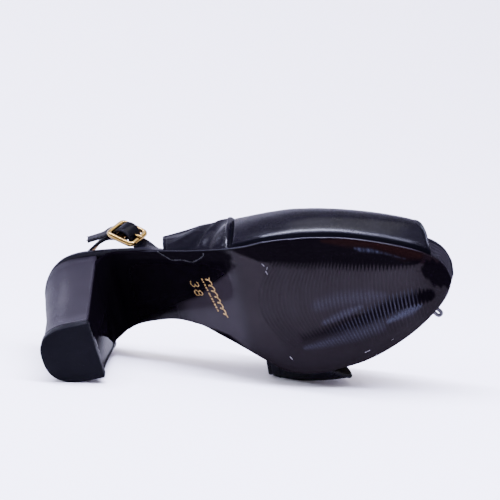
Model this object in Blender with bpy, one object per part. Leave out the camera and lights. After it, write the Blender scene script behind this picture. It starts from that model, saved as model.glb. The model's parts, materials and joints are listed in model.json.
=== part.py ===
"""Right shoe: open-toe slingback sandal with a block heel, lying on its medial side.

The shoe is drawn in its own frame in millimetres: x runs from the back of the heel seat to
the toe, y to the wearer's left (the medial side), z up from the ground that the shoe stands
on. It is then laid on the floor on its medial side, in metres.
"""

from collections import namedtuple
from math import cos, hypot, pi, radians, sin, sqrt

import bpy
import numpy as np

for old in list(bpy.data.objects):
    bpy.data.objects.remove(old, do_unlink=True)

MM = 0.001
GAP = 0.3

# Underside of the sole along the middle of the shoe.
TOE_X = 219.7
TOE_SPRING = 6.8
TREAD_FRONT_X = 170.0
TREAD_BACK_X = 149.6
BREAST_X = 32.4
BREAST_Z = 74.3
BREAST_SLOPE = 0.40
TREAD_FLAT = 0.35

# Thicknesses.
SOLE_T = 3.8
SHANK_T = 3.0
SOLE_CROWN = 2.0
SHANK_CROWN = 1.5
SHANK_START_X = 88.0
SHANK_END_X = 118.0
SOLE_FULL_X = 138.0
PLATFORM_T = 9.0
PLATFORM_START_X = 96.0
PLATFORM_BACK_X = 104.0
PLATFORM_FULL_X = 150.0
FOOTBED_T = 3.4
WALL_T = 2.0
FEATHER_INSET = 0.7
FEATHER_GAP = 0.5

# Heel and the turn of the sole down its breast.
LIFT_H = 6.4
FILLET_R = 7.0
FLAP_LEAN = 1.8
FLAP_MARGIN = 0.4
SEAT_BACK_X = -3.0
SEAT_BACK_RISE = 8.6
SEAT_BACK_SLOPE = 0.14

# Openings of the upper.
QUARTER_END_X = 72.0
TOPLINE_Z = 72.0
TOPLINE_RISE = 0.05
MEDIAL_REAR_X = 116.0
MEDIAL_FRONT_X = 162.0
LATERAL_FRONT_X = 212.4
FACING = 5.0
BELLY = 1.8
CROWN_POWER = 2.3
WIDE_C = 0.72

# Strap and buckle.
STRAP_W = 10.0
STRAP_T = 1.5
BUCKLE_CENTRE = np.array((52.4, -37.4, 78.0))
BUCKLE_ALONG = np.array((-0.757, -0.42, 0.50))
BUCKLE_ACROSS = np.array((0.60, -0.15, 0.785))
BAR_R = 1.2
CENTRE_BAR_R = 1.08
BAR_HALF = 8.2
SIDE_HALF = 7.4
FRAME_CORNER = 2.4
PRONG_R = 0.75
PRONG_HOLE_R = 1.15

Outline = namedtuple("Outline", "x lateral medial")
SOLE = [
    Outline(42.0, 29.8, 17.2),
    Outline(48.0, 30.0, 14.2),
    Outline(58.0, 30.6, 11.4),
    Outline(72.0, 31.6, 9.2),
    Outline(85.0, 32.3, 11.2),
    Outline(94.0, 33.2, 15.7),
    Outline(104.0, 34.2, 21.4),
    Outline(115.0, 35.6, 28.5),
    Outline(127.0, 38.0, 35.6),
    Outline(136.0, 38.5, 37.4),
    Outline(146.0, 38.0, 37.7),
    Outline(155.0, 36.5, 37.2),
    Outline(165.0, 34.4, 36.2),
    Outline(175.0, 31.4, 33.8),
    Outline(185.0, 27.6, 30.3),
    Outline(195.0, 23.2, 25.9),
    Outline(203.0, 19.0, 21.4),
    Outline(210.0, 14.4, 16.6),
    Outline(215.0, 9.8, 12.2),
    Outline(218.0, 5.4, 8.2),
    Outline(TOE_X, 0.4, 4.2),
]
FOOTBED = [
    Outline(SEAT_BACK_X, 4.0, 4.0),
    Outline(-2.0, 10.8, 10.5),
    Outline(1.0, 18.0, 16.8),
    Outline(6.5, 24.8, 23.2),
    Outline(14.0, 29.4, 27.2),
    Outline(24.0, 31.2, 28.0),
    Outline(34.0, 31.0, 24.0),
    Outline(45.0, 31.0, 15.6),
    Outline(57.0, 31.4, 12.4),
    Outline(72.0, 32.6, 10.2),
    Outline(85.0, 33.4, 12.4),
    Outline(94.0, 34.2, 17.0),
    Outline(104.0, 35.4, 23.0),
    Outline(115.0, 37.0, 30.0),
    Outline(127.0, 39.4, 37.0),
    Outline(136.0, 40.4, 39.4),
    Outline(146.0, 40.2, 40.2),
    Outline(155.0, 39.0, 40.0),
    Outline(165.0, 37.2, 39.0),
    Outline(175.0, 34.6, 36.8),
    Outline(185.0, 31.4, 33.4),
    Outline(196.0, 27.6, 28.8),
    Outline(204.0, 24.2, 24.4),
    Outline(210.0, 21.0, 20.4),
    Outline(215.0, 17.6, 16.4),
    Outline(219.0, 13.8, 12.4),
    Outline(222.0, 9.2, 8.2),
    Outline(224.0, 3.4, 3.8),
]

# Widest line of the upper on each side, its height above the ground, and the top ridge.
Last = namedtuple("Last", "x lateral lateral_z medial medial_z ridge ridge_y")
UPPER = [
    Last(66.0, 32.3, 73.0, 20.0, 66.0, 130.0, 0.0),
    Last(78.0, 33.2, 64.0, 22.0, 58.0, 121.0, 0.5),
    Last(90.0, 35.4, 56.5, 26.0, 48.0, 109.0, 1.0),
    Last(100.0, 37.8, 50.0, 32.0, 39.0, 98.0, 1.5),
    Last(112.0, 41.2, 42.0, 39.6, 29.0, 86.0, 2.0),
    Last(122.0, 43.6, 35.0, 43.6, 23.0, 77.0, 2.5),
    Last(133.0, 45.4, 29.5, 46.2, 19.5, 69.0, 3.0),
    Last(144.0, 46.2, 25.5, 47.6, 17.5, 62.5, 3.5),
    Last(154.0, 45.4, 23.5, 48.7, 17.0, 57.5, 4.0),
    Last(165.0, 43.4, 23.0, 49.3, 17.0, 53.5, 4.0),
    Last(175.0, 40.9, 23.0, 48.0, 17.5, 50.5, 4.0),
    Last(186.0, 37.6, 23.0, 45.0, 18.0, 47.5, 3.5),
    Last(196.0, 34.0, 23.5, 40.5, 19.0, 44.5, 3.0),
    Last(206.0, 29.7, 24.0, 34.5, 20.0, 41.5, 2.0),
    Last(214.0, 25.2, 24.5, 28.0, 21.0, 39.0, 1.0),
]

# Edges across the upper: c runs from -1 at the lateral sole edge to 1 at the medial one.
Edge = namedtuple("Edge", "c front seam proud")
EDGES = [
    Edge(-1.00, 208.8, 110.3, 0.3),
    Edge(-0.86, 211.8, 108.6, 1.2),
    Edge(-0.72, LATERAL_FRONT_X, 110.0, 1.2),
    Edge(-0.50, 206.5, 113.5, 1.0),
    Edge(-0.25, 196.0, 118.0, 0.7),
    Edge(0.00, 186.0, 118.0, 0.5),
    Edge(0.35, 172.5, 116.0, 0.3),
    Edge(0.72, MEDIAL_FRONT_X, 116.0, 0.3),
    Edge(0.88, 157.5, 116.0, 0.3),
    Edge(1.00, 151.0, 116.0, 0.3),
]
ACROSS = (-1.0, -0.94, -0.88, -0.8, -0.72, None, -0.6, -0.5, -0.4, -0.3, -0.2, -0.1, 0.0,
          0.1, 0.2, 0.3, 0.4, 0.5, 0.6, 0.66, 0.72, 0.8, 0.88, 0.94, 1.0)

# Height above the ground, back, half widths and skew of the breast across the heel.
Heel = namedtuple("Heel", "z back lateral medial skew")
HEEL = [
    Heel(LIFT_H + GAP, 2.6, 15.0, 15.5, 0.09),
    Heel(14.0, 3.4, 15.4, 15.8, 0.09),
    Heel(24.0, 3.8, 16.8, 17.0, 0.08),
    Heel(36.0, 3.6, 19.0, 19.0, 0.06),
    Heel(48.0, 2.8, 21.6, 21.4, 0.04),
    Heel(58.0, 1.8, 24.0, 23.4, 0.02),
    Heel(66.0, 0.9, 26.1, 25.0, 0.01),
    Heel(72.0, 0.2, 27.8, 26.2, 0.0),
    Heel(75.0, -0.2, 28.5, 26.8, 0.0),
]

# Middle line of each strap and its roll from standing on edge.
Strap = namedtuple("Strap", "x y z roll")
BACK_STRAP = [
    Strap(39.5, -36.0, 82.0, 18.0),
    Strap(33.5, -33.2, 85.0, 12.0),
    Strap(27.5, -29.0, 90.0, 8.0),
    Strap(20.5, -22.5, 98.0, 4.0),
    Strap(13.0, -13.5, 105.5, 0.0),
    Strap(9.0, -2.5, 109.0, 0.0),
    Strap(11.0, 8.5, 106.5, 0.0),
    Strap(17.0, 15.6, 99.0, 0.0),
    Strap(24.0, 18.6, 90.5, 0.0),
    Strap(31.0, 19.2, 82.0, 0.0),
    Strap(38.0, 18.4, 73.5, 0.0),
]
FRONT_STRAP = [
    Strap(84.0, -29.0, 55.8, 2.0),
    Strap(77.5, -28.8, 60.2, 4.0),
    Strap(71.0, -28.8, 64.6, 10.0),
    Strap(65.8, -30.4, 68.2, 18.0),
]
TAIL_STRAP = [
    Strap(39.6, -39.6, 83.0, 22.0),
    Strap(35.0, -38.0, 82.8, 20.0),
    Strap(29.4, -37.4, 82.0, 18.0),
]


def curve(rows, name):
    """Smooth monotone line through one column of a table, against its first column."""
    xs = np.array([row[0] for row in rows])
    ys = np.array([getattr(row, name) for row in rows])
    run = np.diff(xs)
    rise = np.diff(ys) / run
    slope = np.zeros(len(xs))
    slope[0] = rise[0]
    slope[-1] = rise[-1]
    for i in range(1, len(xs) - 1):
        if rise[i - 1] * rise[i] > 0:
            near = run[i - 1] + 2 * run[i]
            far = 2 * run[i - 1] + run[i]
            slope[i] = (near + far) / (near / rise[i - 1] + far / rise[i])

    def value(x):
        x = min(max(x, xs[0]), xs[-1])
        i = min(int(np.searchsorted(xs, x, side="right")) - 1, len(run) - 1)
        t = (x - xs[i]) / run[i]
        rest = 1 - t
        ends = ys[i] * rest * rest * (1 + 2 * t) + ys[i + 1] * t * t * (1 + 2 * rest)
        return ends + run[i] * t * rest * (slope[i] * rest - slope[i + 1] * t)

    return value


def smooth(x, start, end):
    t = min(max((x - start) / (end - start), 0.0), 1.0)
    return t * t * (3 - 2 * t)


def unit(vector):
    return vector / np.linalg.norm(vector)


sole_lateral = curve(SOLE, "lateral")
sole_medial = curve(SOLE, "medial")
bed_lateral = curve(FOOTBED, "lateral")
bed_medial = curve(FOOTBED, "medial")
last = {name: curve(UPPER, name) for name in Last._fields[1:]}
edge = {name: curve(EDGES, name) for name in Edge._fields[1:]}
heel = {name: curve(HEEL, name) for name in Heel._fields[1:]}


def sole_line(x):
    """Height of the sole's underside on the middle line."""
    if x >= TREAD_FRONT_X:
        return TOE_SPRING * ((x - TREAD_FRONT_X) / (TOE_X - TREAD_FRONT_X)) ** 2
    if x >= TREAD_BACK_X:
        return 0.0
    length = TREAD_BACK_X - BREAST_X
    t = (TREAD_BACK_X - x) / length
    return (3 * t * t - 2 * t ** 3) * BREAST_Z + (t ** 3 - t * t) * BREAST_SLOPE * length


def stretch(x):
    """Vertical length through a layer that lies along the sole, per unit of thickness."""
    step = 0.5
    return hypot(1.0, (sole_line(x + step) - sole_line(x - step)) / (2 * step))


def sole_thick(x):
    return SHANK_T + (SOLE_T - SHANK_T) * smooth(x, SHANK_START_X, SOLE_FULL_X)


def sole_crown(x):
    return SHANK_CROWN + (SOLE_CROWN - SHANK_CROWN) * smooth(x, SHANK_START_X, SHANK_END_X)


def sole_top(x):
    return sole_line(x) + sole_thick(x) * stretch(x)


def platform_thick(x):
    return PLATFORM_T * smooth(x, PLATFORM_START_X, PLATFORM_FULL_X)


FILLET_X = BREAST_X + FILLET_R * (1 + BREAST_SLOPE / hypot(1.0, BREAST_SLOPE))
FILLET_TURN = np.arctan(BREAST_SLOPE)
FILLET_CENTRE = (BREAST_X + FILLET_R, sole_line(FILLET_X) - FILLET_R * cos(FILLET_TURN))


def bed_line(x):
    """Height of the footbed's underside: on the sole and platform, then on the heel seat."""
    if x >= FILLET_X:
        return sole_top(x) + GAP + platform_thick(x) + GAP
    start = sole_top(FILLET_X) + GAP + GAP
    length = FILLET_X - SEAT_BACK_X
    t = (FILLET_X - x) / length
    climb = (t ** 3 - 2 * t * t + t) * BREAST_SLOPE + (t ** 3 - t * t) * SEAT_BACK_SLOPE
    return start + (3 * t * t - 2 * t ** 3) * SEAT_BACK_RISE + climb * length


def bed_top(x):
    return bed_line(x) + FOOTBED_T * stretch(max(x, FILLET_X))


pieces = {}


def solid(name, points, faces):
    """Keeps one closed mesh, its faces turned outwards."""
    points = np.array(points, float)
    volume = 0.0
    for face in faces:
        for i in range(1, len(face) - 1):
            volume += np.linalg.det(points[[face[0], face[i], face[i + 1]]])
    if volume < 0:
        faces = [face[::-1] for face in faces]
    pieces[name] = (points, faces)


def loft(name, rings):
    """Closed body through rings of equal count, capped at both ends."""
    count = len(rings[0])
    points = [point for ring in rings for point in ring]
    faces = [tuple(range(count))]
    for r in range(len(rings) - 1):
        for i in range(count):
            j = (i + 1) % count
            faces.append((r * count + i, (r + 1) * count + i, (r + 1) * count + j, r * count + j))
    first = (len(rings) - 1) * count
    faces.append(tuple(range(first + count - 1, first - 1, -1)))
    solid(name, points, faces)


def between(rows, parts):
    """Stations of a table with each step cut into equal parts."""
    xs = [row.x for row in rows]
    stations = [a + (b - a) * k / parts for a, b in zip(xs, xs[1:]) for k in range(parts)]
    return stations + [xs[-1]]


# Sole: a crowned section carried from the toe to the waist and down the heel breast.
UNDER_V = (-1.0, -0.95, -0.86, -0.72, -0.55, -TREAD_FLAT, 0.0, TREAD_FLAT, 0.55, 0.72, 0.86, 0.95, 1.0)
TOP_V = (1.0, 0.5, 0.0, -0.5, -1.0)


def sole_ring(x, z, up, lateral, medial, thick, crown, skew=0.0):
    lifts = [crown * max(0.0, (abs(v) - TREAD_FLAT) / (1 - TREAD_FLAT)) ** 2 for v in UNDER_V]
    ring = []
    for v, lift in list(zip(UNDER_V, lifts)) + [(v, thick) for v in TOP_V]:
        y = (medial - lateral + (medial + lateral) * v) / 2
        ring.append((x + up[0] * lift + skew * y, y, z + up[1] * lift))
    return ring


FLAP_STATIONS = 7
FILLET_STATIONS = 6


def build_outsole():
    rings = []
    for x in reversed(between(SOLE, 2)):
        if x > FILLET_X + SHANK_T:
            thick = sole_thick(x) * stretch(x)
            rings.append(sole_ring(x, sole_line(x), (0.0, 1.0), sole_lateral(x), sole_medial(x),
                                   thick, sole_crown(x)))
    for k in range(FILLET_STATIONS):
        share = k / (FILLET_STATIONS - 1)
        angle = pi / 2 - FILLET_TURN + (pi / 2 + FILLET_TURN) * share
        up = (cos(angle), sin(angle))
        x = FILLET_CENTRE[0] + FILLET_R * up[0]
        z = FILLET_CENTRE[1] + FILLET_R * up[1]
        widen = smooth(share, 0.0, 1.0)
        lateral = sole_lateral(FILLET_X) * (1 - widen) + (heel["lateral"](z) - FLAP_MARGIN) * widen
        medial = sole_medial(FILLET_X) * (1 - widen) + (heel["medial"](z) - FLAP_MARGIN) * widen
        rings.append(sole_ring(x, z, up, lateral, medial, SHANK_T, SHANK_CROWN * (1 - 0.8 * share),
                               heel["skew"](z) * share))
    for k in range(1, FLAP_STATIONS):
        share = k / (FLAP_STATIONS - 1)
        z = FILLET_CENTRE[1] + (LIFT_H + GAP - FILLET_CENTRE[1]) * share
        rings.append(sole_ring(BREAST_X - FLAP_LEAN * share, z, (-1.0, 0.0),
                               heel["lateral"](z) - FLAP_MARGIN, heel["medial"](z) - FLAP_MARGIN,
                               SHANK_T, SHANK_CROWN * 0.2, heel["skew"](z)))
    loft("outsole", rings)


# Heel: D-shaped rings, straight along the breast and rounded at the back.
BACK_STEPS = 16
D_POWER = 2.6
D_STRAIGHT = 0.30


def d_ring(front, back, lateral, medial, skew, height):
    middle = front - (front - back) * D_STRAIGHT
    ring = [(front, medial * 0.4), (front, medial - 1.2), (front - 0.5, medial - 0.35)]
    for k in range(BACK_STEPS + 1):
        turn = pi * k / BACK_STEPS
        reach = abs(cos(turn)) ** (2 / D_POWER)
        half = medial if turn < pi / 2 else -lateral
        ring.append((middle - (middle - back) * sin(turn) ** (2 / D_POWER), half * reach))
    ring += [(front - 0.5, 0.35 - lateral), (front, 1.2 - lateral), (front, -lateral * 0.4)]
    return [(x + skew * y, y, height(x)) for x, y in ring]


def heel_front(z):
    """Front of the heel, behind the sole's turn and flap."""
    reach = FILLET_R + SHANK_T + 1.5 * GAP
    rise = z - FILLET_CENTRE[1]
    if rise <= 0:
        share = rise / (LIFT_H + GAP - FILLET_CENTRE[1])
        return BREAST_X - FLAP_LEAN * share - SHANK_T - GAP
    return FILLET_CENTRE[0] - sqrt(max(reach * reach - rise * rise, 0.0))


HEEL_STATIONS = 8
CORNER_STATIONS = 6
CORNER_TURN = radians(54.0)


def build_heel():
    bottom = LIFT_H + GAP
    levels = [bottom + (FILLET_CENTRE[1] - bottom) * k / HEEL_STATIONS for k in range(HEEL_STATIONS)]
    for k in range(CORNER_STATIONS):
        turn = CORNER_TURN * k / (CORNER_STATIONS - 1)
        levels.append(FILLET_CENTRE[1] + (FILLET_R + SHANK_T + GAP) * sin(turn))
    rings = []
    for z in levels:
        sizes = [heel[name](z) for name in Heel._fields[1:]]
        rings.append(d_ring(heel_front(z), *sizes, lambda x: z))
    sizes = [heel[name](BREAST_Z) for name in Heel._fields[1:]]
    rings.append(d_ring(heel_front(levels[-1]), *sizes, lambda x: bed_line(x) - GAP))
    loft("heel_block", rings)


def build_top_lift():
    front = BREAST_X - FLAP_LEAN + 0.2
    sizes = (HEEL[0].back - GAP, HEEL[0].lateral + GAP, HEEL[0].medial + GAP, HEEL[0].skew)
    loft("top_lift", [d_ring(front, *sizes, lambda x: 0.0), d_ring(front, *sizes, lambda x: LIFT_H)])


# Upper: the last's surface between the rear edge and the toe opening.
def rise_z(x, c):
    return upper_point(x, c)[2]


def upper_point(x, c):
    side = "lateral" if c < 0 else "medial"
    sign = -1.0 if c < 0 else 1.0
    foot = (sole_lateral(x) if c < 0 else sole_medial(x)) - FEATHER_INSET
    foot_z = sole_top(x) + FEATHER_GAP
    wide = last[side](x)
    wide_z = max(last[side + "_z"](x), foot_z + 4.0)
    reach = abs(c)
    if reach >= WIDE_C:
        up = (1 - reach) / (1 - WIDE_C)
        half = foot + (wide - foot) * (1 - (1 - up) ** BELLY)
        return np.array((x, sign * half, foot_z + (wide_z - foot_z) * up))
    angle = pi / 2 * (1 - reach / WIDE_C)
    ridge_y = last["ridge_y"](x)
    out = cos(angle) ** (2 / CROWN_POWER)
    up = sin(angle) ** (2 / CROWN_POWER)
    return np.array((x, ridge_y + (sign * wide - ridge_y) * out, wide_z + (last["ridge"](x) - wide_z) * up))


def upper_normal(x, c):
    dx = 0.4
    dc = 0.004
    along = upper_point(x + dx, c) - upper_point(x - dx, c)
    over = upper_point(x, min(c + dc, 1.0)) - upper_point(x, max(c - dc, -1.0))
    return unit(np.cross(along, over))


def topline(x):
    return TOPLINE_Z + TOPLINE_RISE * (x - QUARTER_END_X)


def solve(low, high, below):
    """Place between low and high where the test turns false."""
    for _ in range(40):
        middle = (low + high) / 2
        if below(middle):
            low = middle
        else:
            high = middle
    return low


CORNER_C = solve(-WIDE_C, -0.3, lambda c: rise_z(QUARTER_END_X, c) < TOPLINE_Z)
THROAT_X = solve(QUARTER_END_X, 170.0, lambda x: rise_z(x, 0.0) > topline(x))


def rear_edge(c):
    if c <= CORNER_C:
        return QUARTER_END_X
    if c < 0:
        return solve(QUARTER_END_X, 170.0, lambda x: rise_z(x, c) > topline(x))
    share = min(c / WIDE_C, 1.0)
    return MEDIAL_REAR_X + (THROAT_X - MEDIAL_REAR_X) * (1 + cos(pi * share)) / 2


QUARTER_PARTS = 7
VAMP_PARTS = 16
SEAM_ROLL = 1.3
SEAM_DIP = 0.4


def upper_stations(c):
    """Places along one line of the upper and how far its face stands out there."""
    rear = rear_edge(c)
    front = edge["front"](c)
    seam = max(edge["seam"](c), rear + FACING)
    proud = edge["proud"](c)
    stations = []
    for k in range(QUARTER_PARTS + 1):
        share = k / QUARTER_PARTS
        stations.append((rear + (seam - SEAM_ROLL - rear) * share, proud * (0.4 + 0.6 * share)))
    stations.append((seam, proud * 0.7))
    stations.append((seam + 0.3, -SEAM_DIP * proud))
    for k in range(VAMP_PARTS + 1):
        share = k / VAMP_PARTS
        stations.append((seam + SEAM_ROLL + (front - seam - SEAM_ROLL) * share, 0.0))
    return stations


def build_upper():
    lines = [CORNER_C if c is None else c for c in ACROSS]
    outer = []
    inner = []
    for c in lines:
        for x, proud in upper_stations(c):
            point = upper_point(x, c)
            normal = upper_normal(x, c)
            outer.append(point + normal * proud)
            inner.append(point - normal * WALL_T)
    width = len(outer) // len(lines)
    shift = len(outer)

    def at(i, j):
        return i * width + j

    faces = []
    for i in range(len(lines) - 1):
        for j in range(width - 1):
            quad = (at(i, j), at(i, j + 1), at(i + 1, j + 1), at(i + 1, j))
            faces.append(quad)
            faces.append(tuple(k + shift for k in quad[::-1]))
    rim = [at(0, j) for j in range(width)] + [at(i, width - 1) for i in range(1, len(lines))]
    rim += [at(len(lines) - 1, j) for j in range(width - 2, -1, -1)]
    rim += [at(i, 0) for i in range(len(lines) - 2, 0, -1)]
    for a, b in zip(rim, rim[1:] + rim[:1]):
        faces.append((b, a, a + shift, b + shift))
    solid("upper", outer + inner, faces)


def inner_point(x, c):
    """Point of the lining at one x, which lies off the outer point's own x where the wall slants."""
    station = x
    for _ in range(6):
        point = upper_point(station, c) - upper_normal(station, c) * WALL_T
        station += x - point[0]
    return point


INNER_STEPS = 60


def inner_half(x, side, z):
    """Half width inside the upper at one height, low on the wall."""
    sign = -1.0 if side == "lateral" else 1.0
    for step in range(INNER_STEPS):
        point = inner_point(x, sign * (1 - (1 - WIDE_C) * step / INNER_STEPS))
        if point[2] >= z:
            break
    return abs(point[1])


def covered(x, side):
    """Whether the upper stands beside the footbed here."""
    if side == "lateral":
        return QUARTER_END_X - 4.0 < x < LATERAL_FRONT_X + 1.0
    return MEDIAL_REAR_X - 4.0 < x < MEDIAL_FRONT_X + 3.0


def bed_half(x, side):
    table = bed_lateral(x) if side == "lateral" else bed_medial(x)
    if covered(x, side):
        return min(table, inner_half(x, side, bed_line(x) - GAP) - GAP)
    return table


# Footbed: a board with a rounded rim, from the heel seat to the toe.
RIM = ((0.0, 0.0), (0.93, 0.0), (0.985, 0.1), (1.0, 0.36),
       (1.0, 0.64), (0.985, 0.9), (0.93, 1.0), (0.0, 1.0))
RIM_RING = RIM + tuple((-v, h) for v, h in RIM[-2:0:-1])


def build_footbed():
    rings = []
    for x in between(FOOTBED, 2):
        lateral = bed_half(x, "lateral")
        medial = bed_half(x, "medial")
        under = bed_line(x)
        over = bed_top(x)
        ring = [(x, (medial if v > 0 else lateral) * v, under + (over - under) * h) for v, h in RIM_RING]
        rings.append(ring)
    loft("footbed", rings)


# Platform: between sole and footbed, its side leaning out to the footbed's rim.
PLATFORM_TIP_SHIFT = 3.4
PLATFORM_SHIFT_X = 188.0
PLATFORM_TIP_X = 219.2
HIDDEN_INSET = 3.4
BARE_INSET = 0.9
PLATFORM_RIM = 0.8


def platform_half(x, side):
    """Half width of the platform's underside, inside the lining where the upper covers it."""
    table = (sole_lateral(x) if side == "lateral" else sole_medial(x)) - BARE_INSET
    if covered(x, side):
        return min(table, inner_half(x, side, sole_top(x) + 3 * GAP) - HIDDEN_INSET)
    return table


def build_platform():
    xs = [x for x in between(SOLE, 2) if PLATFORM_BACK_X <= x < PLATFORM_TIP_X] + [PLATFORM_TIP_X]
    rings = []
    for x in xs:
        share = max(0.0, (x - PLATFORM_SHIFT_X) / (PLATFORM_TIP_X - PLATFORM_SHIFT_X))
        top_x = x + PLATFORM_TIP_SHIFT * share
        under = sole_top(x) + GAP
        over = bed_line(top_x) - GAP
        low = [(x, platform_half(x, "medial"), under), (x, -platform_half(x, "lateral"), under)]
        high = [(top_x, bed_half(top_x, "medial") - PLATFORM_RIM, over),
                (top_x, PLATFORM_RIM - bed_half(top_x, "lateral"), over)]
        waist = [tuple((np.array(a) + np.array(b)) / 2) for a, b in zip(low, high)]
        ring = [low[1], low[0], waist[0], high[0], high[1], waist[1]]
        rings.append(ring)
    loft("platform", rings)


# Straps: ribbons that follow smooth lines, on edge apart from their roll.
RIBBON = ((-1.0, -0.35), (-0.82, -1.0), (0.82, -1.0), (1.0, -0.35),
          (1.0, 0.35), (0.82, 1.0), (-0.82, 1.0), (-1.0, 0.35))


def spline(points, parts):
    """Points along a smooth line through the given ones."""
    points = np.array(points, float)
    ends = np.vstack((2 * points[0] - points[1], points, 2 * points[-1] - points[-2]))
    line = []
    for i in range(1, len(ends) - 2):
        before, a, b, after = ends[i - 1:i + 3]
        for k in range(parts):
            t = k / parts
            line.append(a + 0.5 * t * (b - before + t * (2 * before - 5 * a + 4 * b - after
                                                         + t * (3 * (a - b) + after - before))))
    line.append(points[-1])
    return np.array(line)


def ribbon(name, middle, across, width, thick):
    """A strap along a line, with the direction across it given at each point."""
    rings = []
    for i, point in enumerate(middle):
        tangent = unit(middle[min(i + 1, len(middle) - 1)] - middle[max(i - 1, 0)])
        over = unit(across[i] - tangent * (across[i] @ tangent))
        face = np.cross(tangent, over)
        rings.append([point + over * width / 2 * w + face * thick / 2 * t for w, t in RIBBON])
    loft(name, rings)


def upright(rows):
    """Direction across a strap on edge, tipped by its roll towards the ground."""
    places = np.array([row[:3] for row in rows])
    result = []
    for i, row in enumerate(rows):
        tangent = unit(places[min(i + 1, len(rows) - 1)] - places[max(i - 1, 0)])
        over = unit(np.array((0.0, 0.0, 1.0)) - tangent * tangent[2])
        turn = radians(row.roll)
        result.append(over * cos(turn) - np.cross(tangent, over) * sin(turn))
    return result


ALONG = unit(BUCKLE_ALONG)
OVER = unit(BUCKLE_ACROSS - ALONG * (BUCKLE_ACROSS @ ALONG))
OUT = np.cross(ALONG, OVER)
if OUT[1] > 0:
    OUT = -OUT


def in_buckle(along, out, across=0.0):
    return BUCKLE_CENTRE + ALONG * along + OUT * out + OVER * across


LOOP_R = BAR_R + GAP + STRAP_T / 2
UNDER_BAR = BAR_R + GAP + STRAP_T / 2
OVER_LOOP = LOOP_R + STRAP_T + GAP
LOOP_STEPS = 8
LOOP_START = -10.0
LOOP_TURN = 280.0
STRAP_PARTS = 3
SEAT_CUT_X = (15.0, 60.0)
SEAT_CUT_Y = 40.0
SEAT_CUT_DEPTH = 25.0
SEAT_CUT_STEPS = 16


# Half of the strap's way through the frame: under the outer bar, then over the fold on the centre bar.
Weave = namedtuple("Weave", "along out")
WEAVE = [
    Weave(BAR_HALF + 2.4, -UNDER_BAR - 0.5),
    Weave(BAR_HALF, -UNDER_BAR - 0.1),
    Weave(BAR_HALF * 0.77, -UNDER_BAR * 0.78),
    Weave(BAR_HALF * 0.62, 0.3),
    Weave(BAR_HALF * 0.48, OVER_LOOP * 0.62),
    Weave(BAR_HALF * 0.26, OVER_LOOP * 0.94),
    Weave(0.0, OVER_LOOP + 0.15),
]


def build_straps():
    climb = [(share.along, share.out) for share in WEAVE]
    inside = [in_buckle(-along, out) for along, out in climb]
    inside += [in_buckle(along, out) for along, out in climb[-2::-1]]
    places = [row[:3] for row in FRONT_STRAP] + [tuple(p) for p in inside] + [row[:3] for row in TAIL_STRAP]
    across = upright(FRONT_STRAP) + [OVER] * len(inside) + upright(TAIL_STRAP)
    ribbon("sling_front", spline(places, STRAP_PARTS), spline(across, STRAP_PARTS), STRAP_W, STRAP_T)

    loop = []
    for k in range(LOOP_STEPS + 1):
        turn = radians(LOOP_START + LOOP_TURN * k / LOOP_STEPS)
        loop.append(in_buckle(LOOP_R * cos(turn), LOOP_R * sin(turn)))
    loop.append(in_buckle(BAR_HALF * 0.55, -LOOP_R - 1.4))
    loop.append(in_buckle(BAR_HALF * 1.1, -LOOP_R - 2.8, -1.2))
    places = [tuple(p) for p in loop] + [row[:3] for row in BACK_STRAP]
    across = [OVER] * len(loop) + upright(BACK_STRAP)
    ribbon("sling_back", spline(places, STRAP_PARTS), spline(across, STRAP_PARTS), STRAP_W, STRAP_T)

    seat = []
    for x in np.linspace(*SEAT_CUT_X, SEAT_CUT_STEPS):
        over = bed_top(x) + GAP
        low = over - SEAT_CUT_DEPTH
        seat.append([(x, 0.0, low), (x, SEAT_CUT_Y, low), (x, SEAT_CUT_Y, over), (x, 0.0, over)])
    loft("seat_cut", seat)


TUBE_SIDES = 8


def tube(name, line, radius, closed):
    """Round wire along a line."""
    line = np.array(line, float)
    count = len(line)
    rings = []
    side = None
    for i in range(count):
        ahead = line[(i + 1) % count] if closed else line[min(i + 1, count - 1)]
        behind = line[i - 1] if closed else line[max(i - 1, 0)]
        tangent = unit(ahead - behind)
        if side is None:
            side = np.cross(tangent, OUT if abs(tangent @ OUT) < 0.9 else OVER)
        side = unit(side - tangent * (side @ tangent))
        other = np.cross(tangent, side)
        turns = [2 * pi * k / TUBE_SIDES for k in range(TUBE_SIDES)]
        rings.append([line[i] + radius * (side * cos(t) + other * sin(t)) for t in turns])
    if not closed:
        loft(name, rings)
        return
    points = [point for ring in rings for point in ring]
    faces = []
    for r in range(count):
        for i in range(TUBE_SIDES):
            j = (i + 1) % TUBE_SIDES
            s = (r + 1) % count
            faces.append((r * TUBE_SIDES + i, s * TUBE_SIDES + i, s * TUBE_SIDES + j, r * TUBE_SIDES + j))
    solid(name, points, faces)


CORNER_STEPS = 5


def build_buckle():
    loop = []
    for number, (along, across) in enumerate(((1, 1), (-1, 1), (-1, -1), (1, -1))):
        for k in range(CORNER_STEPS):
            turn = pi / 2 * (number + k / (CORNER_STEPS - 1))
            loop.append(in_buckle(along * (BAR_HALF - FRAME_CORNER) + FRAME_CORNER * cos(turn), 0.0,
                                  across * (SIDE_HALF - FRAME_CORNER) + FRAME_CORNER * sin(turn)))
    tube("buckle_frame", loop, BAR_R, True)
    bar = [in_buckle(0.0, 0.0, side * SIDE_HALF) for side in (-1, -0.5, 0.5, 1)]
    tube("buckle_bar", bar, CENTRE_BAR_R, False)
    base = LOOP_R + STRAP_T / 2 + GAP
    prong = [in_buckle(-base, 0.2), in_buckle(-base - 1.0, 0.9), in_buckle(-BAR_HALF + 1.2, 1.7),
             in_buckle(-BAR_HALF, BAR_R + PRONG_R + 0.1), in_buckle(-BAR_HALF - 1.4, BAR_R + PRONG_R - 0.1)]
    tube("buckle_prong", spline(prong, 3), PRONG_R, False)
    tube("prong_hole", spline(prong, 3), PRONG_HOLE_R, False)


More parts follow.
